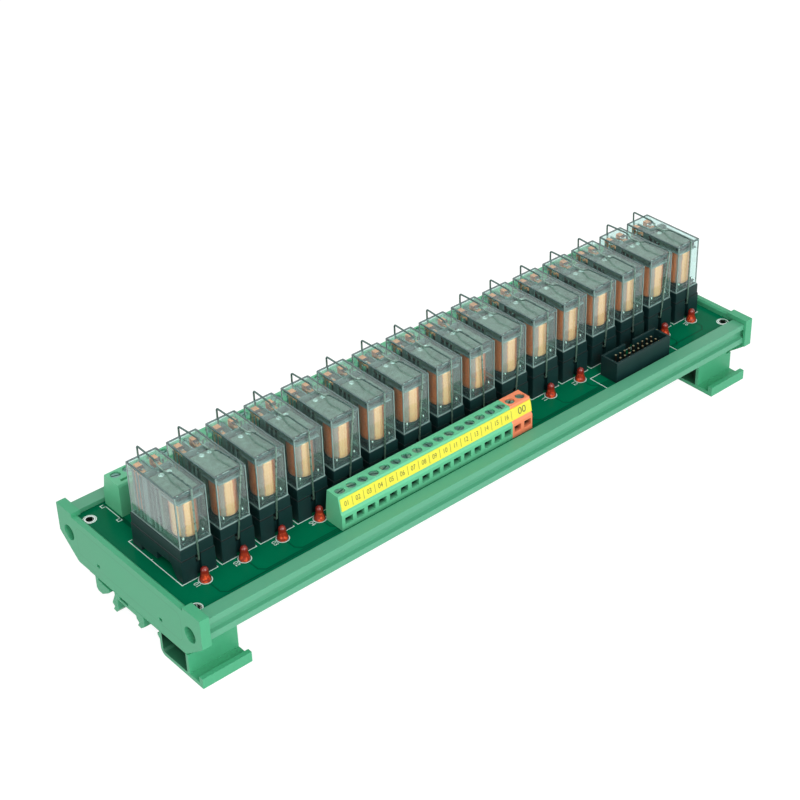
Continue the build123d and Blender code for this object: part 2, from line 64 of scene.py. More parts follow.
# Places that the pieces below take from the frame
BOARD = span("circuit_board")
COVERS = span("relay_covers")
SOCKETS = span("relay_sockets")
CLIPS = span("retaining_clips")
WINDINGS = span("coil_windings")
LAMPS = span("indicator_lamps")
SIGNAL = span("signal_terminals")
COMMON = span("common_terminals")
CONTACT = span("contact_terminals")
HEADER = span("header_shell")
PINS = span("header_pins")
CHANNELS = [f"{i:02d}" for i in range(1, 17)]
ARMATURES = [span(f"armature_{channel}") for channel in CHANNELS]
SPRINGS = [span(f"contact_springs_{channel}") for channel in CHANNELS]
MIDDLES = np.array([a[:, 0].mean() for a in ARMATURES])
BOARD_TOP = BOARD[1, 2]
POLE = (COMMON[1, 0] - COMMON[0, 0]) / 2
ROW_LEFT = {"signal": COMMON[0, 0] - 16 * POLE, "common": COMMON[0, 0], "contact": CONTACT[1, 0] - 48 * POLE}
LAMP_SHIFT = LAMPS[:, 0].mean() - MIDDLES.mean()
COVER_HALF = MIDDLES[0] - COVERS[0, 0]
COVER_FRONT = COVERS[0, 1]
# The coil's solder tabs, from the relay's middle and from the cover's front
TAB_SIDE = 3.9 * MM
TAB_BACK = 1.45 * MM


def srgb(r, g, b):
    """Linear colour of a screen colour with 0 to 255 channels."""
    c = np.array([r, g, b]) / 255
    return tuple(float(v) for v in np.where(c <= 0.04045, c / 12.92, ((c + 0.055) / 1.055) ** 2.4))


def colour(name, rgb, text):
    """A colour property with its default given as a screen colour."""
    return FloatVectorProperty(name=name, description=text, subtype="COLOR", size=3, min=0, max=1,
                               default=srgb(*rgb))


def length(name, value, text):
    """A length property with its default in millimetres."""
    return FloatProperty(name=name, description=text, default=value * MM, unit="LENGTH", precision=5)


class CameraSizes(bpy.types.PropertyGroup):
    """Where the photograph was taken from, and its lens."""
    place: FloatVectorProperty(name="Place", description="Camera's place in the row frame", subtype="XYZ",
                               unit="LENGTH", size=3, default=(-0.36854, -0.42910, 0.41270))
    azimuth: FloatProperty(name="Azimuth", description="Heading, clockwise from +Y", subtype="ANGLE",
                           default=math.radians(42.0545))
    elevation: FloatProperty(name="Elevation", description="Angle that the camera looks down by",
                             subtype="ANGLE", default=math.radians(31.992))
    roll: FloatProperty(name="Roll", description="Turn about the line of sight", subtype="ANGLE",
                        default=math.radians(-0.574))
    focal_px: FloatProperty(name="Focal length", description="In pixels of an 800 pixel picture",
                            subtype="PIXEL", default=1787.27)
    centre_px: FloatVectorProperty(name="Principal point", description="In pixels of an 800 pixel picture",
                                   size=2, default=(465.44, 338.53))


class BoardColours(bpy.types.PropertyGroup):
    """Finishes of the moulded, printed and metal pieces."""
    carrier: colour("Carrier", (86, 166, 130), "Extruded carrier profile")
    moulding: colour("Mouldings", (74, 171, 126), "End caps and rail feet")
    mask: colour("Solder mask", (0, 112, 76), "Upper face of the board")
    track: colour("Tracks", (0, 82, 55), "Copper tracks under the mask")
    laminate: colour("Laminate edge", (150, 165, 110), "Cut edges of the board")
    silk: colour("Silkscreen", (220, 242, 234), "White printing on the board")
    socket: colour("Sockets", (17, 46, 46), "Relay sockets")
    base: colour("Relay bases", (20, 50, 50), "Relay bases and barriers")
    cover: colour("Covers", (232, 250, 247), "Clear relay covers")
    # The cover rims' colours are painted light of the covers' thick clear edges, darker along the top
    rim: colour("Cover rims", (158, 188, 182), "Thick edges of the clear covers")
    rim_top: colour("Cover rims, top", (104, 132, 130), "Edges of the covers' tops")
    inner: colour("Inner walls", (126, 152, 146), "Walls between the contacts inside the covers")
    winding: colour("Windings", (228, 122, 72), "Enamelled copper wire")
    winding_lit: colour("Windings, lit", (255, 194, 140), "Bright columns of the windings")
    bobbin: colour("Bobbins", (118, 142, 138), "Coil bobbins")
    steel: colour("Plated steel", (104, 128, 114), "Yokes and armatures")
    bronze: colour("Bronze", (232, 158, 106), "Contact blades")
    copper: colour("Copper", (246, 160, 110), "Fixed contacts")
    card: colour("Card", (66, 46, 36), "Card that carries the contact blades")
    silver: colour("Silver", (214, 226, 220), "Rivets, contact buttons and tabs")
    wire: colour("Clip wire", (130, 158, 146), "Retaining clips")
    # Darker tone of the clips' raised runs: painted shade on the same wire
    wire_raised_shade: colour("Clip wire, raised runs", (86, 112, 106), "Runs that stand clear of the covers")
    # Deep tone: painted shade on the lamps' outlines and dome tops, and their flecks
    lamp_shade_and_fleck: colour("Lamp edges", (118, 10, 8), "Deep tone of the lamps")
    lamp_foot: colour("Lamps", (246, 92, 48), "Lit tone of the lamps")
    terminal: colour("Terminals", (106, 202, 154), "Green terminal blocks")
    common: colour("Common terminals", (254, 148, 106), "Orange terminal block")
    label: colour("Label", (236, 230, 66), "Numbered strip")
    digits: colour("Digits", (92, 98, 52), "Printing on the strip")
    screw: colour("Terminal screws", (120, 164, 154), "Heads of the terminal screws")
    pin: colour("Header pins", (160, 156, 124), "Plated header pins")


class PieceSizes(bpy.types.PropertyGroup):
    """Sizes of the pieces that the frame leaves to this file."""
    edge: length("Edge", 0.25, "Rounding of moulded edges")
    fine_edge: length("Fine edge", 0.12, "Rounding of small edges")
    silk_line: length("Silkscreen line", 0.35, "Width of the printed lines")
    silk_rise: length("Silkscreen rise", 0.03, "Printing stands this far over the board")
    screw_radius: length("Screw radius", 1.74, "Heads of the terminal screws")
    screw_slot: length("Screw slot", 0.5, "Width of their slots")
    screw_drop: length("Screw depth", 0.45, "Heads lie this far below the terminals' tops")
    well_radius: length("Well radius", 1.92, "Round wells over the screws")
    clip_wire: length("Clip wire", 0.7, "Diameter of the retaining clips' wire")
    clip_bend: length("Clip bend", 0.9, "Bending radius of the clips")
    digit_height: length("Digit height", 1.95, "Numbers on the terminal strip")
    lamp_flange: length("Lamp flange", 2.05, "Radius of the lamps' feet")


class StudioSizes(bpy.types.PropertyGroup):
    """Lamps and ground."""
    floor: length("Floor", 4000, "Side of the ground plane")
    ambient: FloatProperty(name="Ambient", description="Strength of the sky on the object", default=0.42)
    key: FloatProperty(name="Key lamp", description="Front lamp, right of the camera", default=8.6,
                       unit="POWER")
    fill: FloatProperty(name="Fill lamp", description="Lamp on the left", default=2.2, unit="POWER")
    ground: FloatProperty(name="Ground glow", description="Strength of the ground as the camera sees it",
                          default=1.17)
    top: FloatProperty(name="Top lamp", description="Lamp over the object", default=1.6, unit="POWER")
    spark: FloatProperty(name="Spark lamp", description="Small lamp that gives glints", default=1.2, unit="POWER")


# Shapes: each is (points, faces), with faces as arrays of one face size each
def mm(points):
    """Points given in millimetres, in metres."""
    return np.array(points, float) * MM


def oblong(x0, x1, y0, y1):
    """Corners of a rectangle, anticlockwise."""
    return [(x0, y0), (x1, y0), (x1, y1), (x0, y1)]


def net(points, around=True, along=False):
    """Quads between neighbouring points of a grid whose first index runs along and second runs around.
    Corner (i, j) joins (i, j+1), (i+1, j+1) and (i+1, j), counted round in a closed direction."""
    m, n = points.shape[:2]
    i = np.arange(m if along else m - 1)[:, None]
    j = np.arange(n if around else n - 1)[None, :]
    i1, j1 = (i + 1) % m, (j + 1) % n
    quads = np.stack([i * n + j, i * n + j1, i1 * n + j1, i1 * n + j], -1).reshape(-1, 4)
    return points.reshape(-1, 3), [quads]


def closed(points):
    """A tube of rings with a flat face over its first and last ring."""
    m, n = points.shape[:2]
    flat, faces = net(points)
    ends = [np.arange(n)[::-1][None, :], (np.arange(n) + (m - 1) * n)[None, :]]
    return flat, faces + ends


def turned(profile, sides, hollow=False):
    """Profile of (radius, height) turned about Z: (r cos t, r sin t, h). A hollow profile is a closed loop."""
    t = np.linspace(0, 2 * np.pi, sides, endpoint=False)
    r, h = np.array(profile, float).T
    points = np.stack([r[:, None] * np.cos(t), r[:, None] * np.sin(t), h[:, None] + 0 * t], -1)
    return net(points, along=True) if hollow else closed(points)


def drawn(outline, low, high):
    """Anticlockwise outline of (x, y) points drawn from height low to height high."""
    flat = np.array(outline, float)
    rings = [np.column_stack([flat, np.full(len(flat), z)]) for z in (low, high)]
    return closed(np.stack(rings))


def piped(path, radius, sides):
    """Circle carried along a path in a plane of constant X: p + r (cos t X + sin t (T x X))."""
    path = np.array(path, float)
    along = np.gradient(path, axis=0)
    along /= np.linalg.norm(along, axis=1)[:, None]
    side = np.array([1.0, 0.0, 0.0])
    up = np.cross(along, side)
    t = np.linspace(0, 2 * np.pi, sides, endpoint=False)[None, :, None]
    rings = path[:, None] + radius * (np.cos(t) * side + np.sin(t) * up[:, None])
    return closed(rings)


def eased(points, reach, steps=5):
    """Path whose inner corners become quadratic arcs (1-t)^2 A + 2t(1-t) C + t^2 B, with A and B
    at most reach from the corner C and at most 0.45 of a run."""
    p = np.array(points, float)
    before, after = p[:-2] - p[1:-1], p[2:] - p[1:-1]
    lb, la = np.linalg.norm(before, axis=1), np.linalg.norm(after, axis=1)
    cut = np.minimum(reach, 0.45 * np.minimum(lb, la))
    a = p[1:-1] + before * (cut / lb)[:, None]
    b = p[1:-1] + after * (cut / la)[:, None]
    t = np.linspace(0, 1, steps)[None, :, None]
    arcs = (1 - t) ** 2 * a[:, None] + 2 * t * (1 - t) * p[1:-1][:, None] + t ** 2 * b[:, None]
    return np.vstack([p[:1], arcs.reshape(-1, 3), p[-1:]])


def stripe(points, width, closed_line=False):
    """Flat line of a given width through (x, y) points: each point moves to both sides along the
    mean normal of its two runs, lengthened by 1 / cos of half the turn."""
    p = np.array(points, float)
    runs = np.roll(p, -1, 0) - p
    runs /= np.linalg.norm(runs, axis=1)[:, None] + 1e-12
    before = np.roll(runs, 1, 0)
    if not closed_line:
        before[0], runs[-1] = runs[0], before[-1]
    n1 = np.column_stack([-before[:, 1], before[:, 0]])
    n2 = np.column_stack([-runs[:, 1], runs[:, 0]])
    mean = (n1 + n2) / 2
    offset = mean / (mean ** 2).sum(1)[:, None] * width / 2
    rows = np.stack([p - offset, p + offset], 1)
    points3 = np.concatenate([rows, np.zeros((len(p), 2, 1))], -1)
    return net(points3, around=False, along=closed_line)


def circle(radius, sides, x=0.0, y=0.0):
    """Points of a circle, anticlockwise."""
    t = np.linspace(0, 2 * np.pi, sides, endpoint=False)
    return np.column_stack([x + radius * np.cos(t), y + radius * np.sin(t)])


def moved(shape, offset):
    """The shape, moved."""
    return shape[0] + np.array(offset, float), shape[1]


def gathered(shapes):
    """Several shapes as one."""
    points, faces, base = [], [], 0
    for p, fs in shapes:
        points.append(p)
        faces += [f + base for f in fs]
        base += len(p)
    return np.vstack(points), faces


def repeated(shape, offsets):
    """One shape at every offset: all its points plus each offset in turn."""
    points, faces = shape
    offsets = np.array(offsets, float)
    every = (points[None] + offsets[:, None]).reshape(-1, 3)
    step = (np.arange(len(offsets)) * len(points))[:, None, None]
    return every, [(f[None] + step).reshape(-1, f.shape[1]) for f in faces]


def per_relay(shape, x=0.0, y=0.0, z=0.0):
    """The shape once for each relay, at x from its middle and at a common y and z."""
    return repeated(shape, [(middle + x, y, z) for middle in MIDDLES])


def letters(text, height):
    """Flat shape of a short number, centred on the origin, with its mesh read from a text curve."""
    curve = bpy.data.curves.new("lettering", "FONT")
    curve.body = text
    curve.size = height * 1.4
    curve.align_x = "CENTER"
    curve.align_y = "CENTER"
    holder = bpy.data.objects.new("lettering", curve)
    mesh = bpy.data.meshes.new_from_object(holder)
    points = np.empty(len(mesh.vertices) * 3)
    mesh.vertices.foreach_get("co", points)
    sizes = np.array([len(p.vertices) for p in mesh.polygons])
    corners = [np.array(p.vertices[:]) for p in mesh.polygons]
    faces = [np.stack([c for c in corners if len(c) == k]) for k in np.unique(sizes)]
    bpy.data.objects.remove(holder)
    bpy.data.curves.remove(curve)
    bpy.data.meshes.remove(mesh)
    return points.reshape(-1, 3), faces


def laid(shape, origin, right, up):
    """A flat shape put on a plane: origin + x right + y up."""
    p = shape[0]
    return np.array(origin) + p[:, :1] * np.array(right) + p[:, 1:2] * np.array(up), shape[1]


def piece(name, shape, finish, body="board", replaces=(), smooth=35):
    """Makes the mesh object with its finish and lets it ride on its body."""
    points, faces = shape
    mesh = bpy.data.meshes.new(name)
    mesh.vertices.add(len(points))
    mesh.vertices.foreach_set("co", np.ascontiguousarray(points, dtype=np.float32).ravel())
    corners = np.concatenate([f.ravel() for f in faces]).astype(np.int32)
    sizes = np.concatenate([np.full(len(f), f.shape[1]) for f in faces])
    mesh.loops.add(len(corners))
    mesh.loops.foreach_set("vertex_index", corners)
    mesh.polygons.add(len(sizes))
    mesh.polygons.foreach_set("loop_start", np.concatenate([[0], np.cumsum(sizes)[:-1]]).astype(np.int32))
    mesh.update(calc_edges=True)
    mesh.validate()
    mesh.shade_smooth()
    mesh.set_sharp_from_angle(angle=math.radians(smooth))
    obj = bpy.data.objects.new(name, mesh)
    bpy.context.scene.collection.objects.link(obj)
    mesh.materials.append(FINISH[finish])
    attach(obj, body)
    if replaces:
        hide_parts(*replaces)
    return obj


# Material building
def fill(tree, node, *numbered, **named):
    """Sets a node's inputs in their order, and others by name, with underscores for spaces. Where the
    value is another node's socket, that is linked."""
    named = {key.replace("_", " "): value for key, value in named.items()}
    for key, value in (*enumerate(numbered), *named.items()):
        if isinstance(value, bpy.types.NodeSocket):
            tree.links.new(value, node.inputs[key])
        else:
            node.inputs[key].default_value = value
    return node


def add(tree, kind, *numbered, **settings):
    """Adds a shader node, with its settings and its first inputs."""
    node = tree.nodes.new("ShaderNode" + kind)
    for key, value in settings.items():
        setattr(node, key, value)
    return fill(tree, node, *numbered)


def calc(tree, operation, *values):
    """Number that a Math node makes of the values."""
    return add(tree, "Math", *values, operation=operation).outputs[0]


def vector_calc(tree, operation, *values):
    """Vector that a Vector Math node makes of the values."""
    return add(tree, "VectorMath", *values, operation=operation).outputs[0]


def scaled(tree, vector, factor):
    """Vector or colour times a number."""
    return fill(tree, add(tree, "VectorMath", vector, operation="SCALE"), Scale=factor).outputs[0]


def ranged(tree, value, low, high, first=0.0, last=1.0):
    """Number that goes from first to last while the value goes from low to high, and stays there beyond."""
    return add(tree, "MapRange", value, float(low), float(high), first, last).outputs[0]


def here(tree):
    """Object coordinates."""
    return add(tree, "TexCoord").outputs["Object"]


def axis_of(tree, axis):
    """One Object coordinate."""
    return add(tree, "SeparateXYZ", here(tree)).outputs[axis]


def above(tree, axis, edge):
    """Mask that is 1 where an Object coordinate is over edge."""
    return calc(tree, "GREATER_THAN", axis_of(tree, axis), float(edge))


def fade(tree, axis, low, high):
    """Mask that rises from 0 to 1 between two Object coordinates, or falls where low is the greater."""
    return ranged(tree, axis_of(tree, axis), low, high)


def band(tree, value, middle, half, soft):
    """Mask that is 1 within half of middle, and 0 beyond half + soft."""
    away = calc(tree, "ABSOLUTE", calc(tree, "SUBTRACT", value, float(middle)))
    return ranged(tree, away, half + soft, half)


def beside(tree):
    """Object X from the middle of the nearest relay: the pitch is taken off as often as it goes in."""
    pitch = float(MIDDLES[-1] - MIDDLES[0]) / 15
    start = calc(tree, "SUBTRACT", axis_of(tree, "X"), float(MIDDLES[0]) - pitch / 2)
    return calc(tree, "SUBTRACT", calc(tree, "FLOORED_MODULO", start, pitch), pitch / 2)


def times(tree, first, *masks):
    """Product of masks."""
    for mask in masks:
        first = calc(tree, "MULTIPLY", first, mask)
    return first


def either(tree, first, *masks):
    """Greatest of masks."""
    for mask in masks:
        first = calc(tree, "MAXIMUM", first, mask)
    return first


def mixed(tree, mask, first, second):
    """Colour between two, by a mask. The Mix node keeps its colours in inputs 6 and 7 and output 2."""
    first, second = (v if isinstance(v, bpy.types.NodeSocket) else (*v, 1) for v in (first, second))
    node = add(tree, "Mix", mask, data_type="RGBA")
    for socket, value in zip(node.inputs[6:8], (first, second)):
        if isinstance(value, tuple):
            socket.default_value = value
        else:
            tree.links.new(value, socket)
    return node.outputs[2]


def new_group(name, inputs, outputs):
    """Empty shader group with float, colour and vector sockets, its input node and its output node."""
    kinds = {"f": "NodeSocketFloat", "c": "NodeSocketColor", "v": "NodeSocketVector"}
    group = bpy.data.node_groups.new(name, "ShaderNodeTree")
    for key, (kind, value) in inputs.items():
        made = group.interface.new_socket(key, in_out="INPUT", socket_type=kinds[kind])
        made.default_value = value
    for key, kind in outputs.items():
        group.interface.new_socket(key, in_out="OUTPUT", socket_type=kinds[kind])
    return group, group.nodes.new("NodeGroupInput").outputs, group.nodes.new("NodeGroupOutput").inputs


def skin_group():
    """Tone, roughness and grain of a moulded or drawn skin: cloudy noise lightens and darkens the
    colour, and a finer noise gives the height. Sizes are in millimetres of Object coordinates."""
    group, given, out = new_group("board_skin", {
        "Colour": ("c", (0.5, 0.5, 0.5, 1)), "Tone Spread": ("f", 0.06), "Tone Size": ("f", 12.0),
        "Grain Size": ("f", 0.3), "Stretch": ("v", (1, 1, 1)), "Roughness": ("f", 0.45),
        "Roughness Spread": ("f", 0.06)}, {"Colour": "c", "Roughness": "f", "Height": "f"})
    in_mm = scaled(group, vector_calc(group, "MULTIPLY", here(group), given["Stretch"]), 1 / MM)
    clouds, grain = (fill(group, add(group, "TexNoise"), Vector=in_mm, Detail=2.0,
                          Scale=calc(group, "DIVIDE", 1.0, given[size])).outputs["Fac"]
                     for size in ("Tone Size", "Grain Size"))
    swing = calc(group, "SUBTRACT", clouds, 0.5)
    tone = calc(group, "MULTIPLY_ADD", swing, given["Tone Spread"], 1.0)
    rough = calc(group, "MULTIPLY_ADD", swing, given["Roughness Spread"], given["Roughness"])
    group.links.new(scaled(group, given["Colour"], tone), out["Colour"])
    group.links.new(rough, out["Roughness"])
    group.links.new(grain, out["Height"])
    return group


def outline_group():
    """Mask of a thin line round a rounded rectangle in the Y and Z plane: the distance to the
    rectangle's edge, |max(q, 0)| + min(max(q), 0) - r with q = |p - centre| - half + r."""
    group, given, out = new_group("board_outline", {
        "Centre": ("v", (0, 0, 0)), "Half Width": ("f", 40.0), "Half Height": ("f", 6.0),
        "Corner": ("f", 3.0), "Line": ("f", 0.3)}, {"Mask": "f"})
    local = vector_calc(group, "SUBTRACT", scaled(group, here(group), 1 / MM), given["Centre"])
    split = add(group, "SeparateXYZ", vector_calc(group, "ABSOLUTE", local)).outputs
    sides = [calc(group, "SUBTRACT", split[axis], calc(group, "SUBTRACT", given[half], given["Corner"]))
             for axis, half in (("Y", "Half Width"), ("Z", "Half Height"))]
    over = add(group, "CombineXYZ", *(calc(group, "MAXIMUM", q, 0.0) for q in sides)).outputs[0]
    outside = add(group, "VectorMath", over, operation="LENGTH").outputs["Value"]
    inside = calc(group, "MINIMUM", calc(group, "MAXIMUM", *sides), 0.0)
    away = calc(group, "SUBTRACT", calc(group, "ADD", outside, inside), given["Corner"])
    group.links.new(calc(group, "LESS_THAN", calc(group, "ABSOLUTE", away), given["Line"]), out["Mask"])
    return group


def blank(name, **plain):
    """New material with a Principled shader, its plain values set by socket name."""
    material = bpy.data.materials.new(name)
    material.use_nodes = True
    tree = material.node_tree
    return material, tree, fill(tree, tree.nodes["Principled BSDF"], **plain)


# Materials by name, and the shader groups that they share
FINISH = {}
SHARED = {}


def skinned(name, tint, spread=0.10, size=14.0, grain=0.25, bump=0.02, rough=0.45, rough_spread=0.08,
            stretch=(1, 1, 1), **plain):
    """Puts a material into FINISH whose colour, roughness and bump come from the skin group. Returns its
    tree, its shader and the colour's socket, for what is painted over the skin."""
    FINISH[name], tree, shader = blank(name, **plain)
    skin = fill(tree, add(tree, "Group", node_tree=SHARED["skin"]), Colour=(*tint, 1), Tone_Spread=spread,
                Tone_Size=size, Grain_Size=grain, Stretch=stretch, Roughness=rough,
                Roughness_Spread=rough_spread).outputs
    relief = fill(tree, add(tree, "Bump"), Height=skin["Height"], Strength=0.5, Distance=bump * MM)
    fill(tree, shader, Base_Color=skin["Colour"], Roughness=skin["Roughness"], Normal=relief.outputs[0])
    return tree, shader, skin["Colour"]


def zoned(name, second, zone, tint, **more):
    """Skin whose colour changes to a second one by a mask of the Object coordinates. The zone is what
    fade takes, or a function that makes the mask."""
    tree, shader, skin = skinned(name, tint, **more)
    mask = zone(tree) if callable(zone) else fade(tree, *zone)
    fill(tree, shader, Base_Color=mixed(tree, mask, skin, second))


def socket_painted_shade(tree):
    """Painted shade on the sockets: a dark line under the upper tier's step, the slot behind the front leg, and
    the clip's pocket.
    """
    seam, front = SOCKETS[1, 2] - 4.42 * MM, SOCKETS[0, 1]
    up, back = axis_of(tree, "Z"), axis_of(tree, "Y")
    slot = times(tree, band(tree, back, front + 7.1 * MM, 0.14 * MM, 0.1 * MM),
                 fade(tree, "Z", seam, seam - 0.05 * MM))
    pocket_shade = times(tree, band(tree, back, front + 1.5 * MM, 0.2 * MM, 0.02 * MM),
                   band(tree, beside(tree), 0, 1.06 * MM, 0.01 * MM),
                   band(tree, up, BOARD_TOP + 6.6 * MM, 1.5 * MM, 0.1 * MM))
    return either(tree, band(tree, up, seam, 0.1 * MM, 0.08 * MM), slot, pocket_shade)


def wire_entry_shade(tree, box, back):
    """Mask of painted shade in a terminal block's wire entries, which darkens with depth behind its front or rear
    face.
    """
    face, sign = (box[1, 1], -1) if back else (box[0, 1], 1)
    near, deep, end = (face + sign * d * MM for d in (0.4, 2.6, 6.7))
    sill, roof = BOARD_TOP + 2.05 * MM, BOARD_TOP + 5.05 * MM
    return times(tree, fade(tree, "Y", near, deep), fade(tree, "Y", end + sign * 0.05 * MM, end),
                 fade(tree, "Z", roof + 0.1 * MM, roof), above(tree, "Z", sill),
                 above(tree, "X", box[0, 0] + 0.6 * MM),
                 fade(tree, "X", box[1, 0] - 0.3 * MM, box[1, 0] - 0.4 * MM))


def paint_mouldings(c):
    """End caps and feet: moulded skin, a shallow line round each cap's outer face, and painted shade in the feet's
    hollows.
    """
    tree, shader, skin = skinned("moulded_plastic", c.moulding, spread=0.09, size=18.0, grain=0.3, bump=0.03,
                                 rough=0.44, Specular_IOR_Level=0.35)
    ring = fill(tree, add(tree, "Group", node_tree=SHARED["outline"]), Half_Width=32.0, Half_Height=6.0,
                Centre=(0, 0, (BOARD_TOP / MM) - 6.3), Corner=2.5, Line=0.16)
    lined = mixed(tree, ring.outputs["Mask"], skin, scaled(tree, skin, 0.86))
    up = axis_of(tree, "Z")
    # Painted shade in the feet's hollows, deeper towards their top
    hollow = times(tree, band(tree, axis_of(tree, "Y"), -25.5 * MM, 7.05 * MM, 0.1 * MM),
                   band(tree, up, 5.7 * MM, 4.1 * MM, 0.2 * MM), ranged(tree, up, 1.0 * MM, 8.0 * MM, 0.55))
    fill(tree, shader, Base_Color=mixed(tree, hollow, lined, (0.001, 0.022, 0.009)))


def paint_board(c):
    """Board: glossy mask on the faces, bare laminate on the cut edges."""
    tree, shader, skin = skinned("board_mask", c.mask, spread=0.18, size=16.0, grain=0.4, bump=0.008, rough=0.22,
                                 Specular_IOR_Level=0.04)
    weave = fill(tree, add(tree, "TexBrick"), Vector=here(tree), Scale=1 / (0.9 * MM),
                 Color1=(0.97, 0.97, 0.97, 1), Color2=(1, 1, 1, 1), Mortar=(0.9, 0.92, 0.9, 1))
    normal = add(tree, "NewGeometry").outputs["Normal"]
    upright = calc(tree, "ABSOLUTE", add(tree, "SeparateXYZ", normal).outputs["Z"])
    woven = vector_calc(tree, "MULTIPLY", skin, weave.outputs["Color"])
    fill(tree, shader, Base_Color=mixed(tree, calc(tree, "GREATER_THAN", upright, 0.5), c.laminate, woven))


def paint_covers(c):
    """Covers: clear; lamps shine through them, and cloudy streaks run down their sides."""
    tree, shader, _ = skinned("clear_cover", c.cover, spread=0.18, size=1.6, grain=2.5, bump=0.01, rough=0.04,
                              rough_spread=0.05, stretch=(1, 1, 0.06), Transmission_Weight=0.965, IOR=1.42)
    through = add(tree, "BsdfTransparent", (0.9, 0.93, 0.92, 1)).outputs[0]
    lit = add(tree, "MixShader", add(tree, "LightPath").outputs["Is Shadow Ray"], shader.outputs[0], through)
    tree.links.new(lit.outputs[0], tree.nodes["Material Output"].inputs["Surface"])


def paint_windings(c):
    """Windings: wire turns as a fine ripple, and clear tape over them as the coat. The side of the coil is
    the angle atan2(-x, -y) about its axis, with x and y from the nearest coil's middle. Bright columns of
    painted highlight, a grey painted reflection and the painted shade of a dark limb stand at their own
    angles, with ragged noise added to the angle."""
    tree, shader, skin = skinned("wire_winding", c.winding, spread=0.6, size=1.4, rough=0.4, Metallic=0.2,
                                 stretch=(1.4, 1.4, 0.12), Coat_Weight=0.3, Coat_Roughness=0.2)
    place = here(tree)
    turns = fill(tree, add(tree, "TexWave", wave_type="BANDS", bands_direction="Z"), Vector=place,
                 Scale=0.05 / (0.24 * MM))
    relief = fill(tree, add(tree, "Bump"), Height=turns.outputs["Fac"], Strength=0.4, Distance=0.04 * MM)
    left = calc(tree, "MULTIPLY", beside(tree), -1.0)
    ahead = calc(tree, "SUBTRACT", float(WINDINGS[:, 1].mean()), axis_of(tree, "Y"))
    ragged = fill(tree, add(tree, "TexNoise"), Scale=1.0, Detail=2.0,
                  Vector=vector_calc(tree, "MULTIPLY", place, (300.0, 300.0, 3500.0)))
    angle = calc(tree, "MULTIPLY_ADD", ragged.outputs["Fac"], 0.3, calc(tree, "ARCTAN2", left, ahead))
    # Painted highlight: bright columns, split by thin darker lines
    bright = band(tree, angle, 0.36, 0.34, 0.05)
    for middle, half, depth in ((0.22, 0.012, -0.6), (0.44, 0.008, -0.35)):
        thin = band(tree, angle, middle, half, 0.03)
        bright = times(tree, bright, calc(tree, "MULTIPLY_ADD", thin, depth, 1.0))
    # The first relay's coil is also seen through its side, where it has another painted highlight column
    side = MIDDLES[0] + 8.0 * MM
    bright = either(tree, bright, times(tree, band(tree, angle, 1.55, 0.3, 0.12),
                                        fade(tree, "X", side, side - 0.1 * MM)))
    # Painted reflection: a grey column across the coil
    painted_reflection = calc(tree, "MULTIPLY", band(tree, angle, 0.99, 0.19, 0.06), 0.75)
    # Painted shade on the coil's dark limb
    copper = mixed(tree, ranged(tree, angle, 0.0, -0.7), skin, (0.12, 0.045, 0.022))
    copper = mixed(tree, painted_reflection, copper, (0.27, 0.31, 0.29))
    low, high = WINDINGS[:, 2]
    # The painted highlight's colour, more orange towards the bottom
    lit = mixed(tree, fade(tree, "Z", high, low), c.winding_lit, (0.83, 0.43, 0.19))
    fill(tree, shader, Base_Color=mixed(tree, bright, copper, lit), Normal=relief.outputs[0])


def paint_lamps(c):
    """Lamps: tinted and flecked, with painted shade towards their outlines, where more plastic is looked through,
    and over the dome's top.
    """
    tree, shader, skin = skinned("lamp_plastic", c.lamp_foot, spread=0.3, size=1.2, grain=0.4, bump=0.01,
                                 rough=0.3, Transmission_Weight=0.1, IOR=1.4, Coat_Weight=0.7,
                                 Coat_Roughness=0.03)
    # Painted shade towards the outlines and over the dome's top; the flecks are a random tone
    edge = ranged(tree, add(tree, "LayerWeight", 0.5).outputs["Facing"], 0.12, 0.55)
    tip = calc(tree, "MULTIPLY", fade(tree, "Z", BOARD_TOP + 2.7 * MM, BOARD_TOP + 3.5 * MM), 0.9)
    cells = fill(tree, add(tree, "TexVoronoi"), Vector=here(tree), Scale=1 / (1.1 * MM))
    fleck = ranged(tree, cells.outputs["Distance"], 0.34, 0.54, 0.0, 0.75)
    fill(tree, shader, Base_Color=mixed(tree, either(tree, edge, tip, fleck), skin, c.lamp_shade_and_fleck))


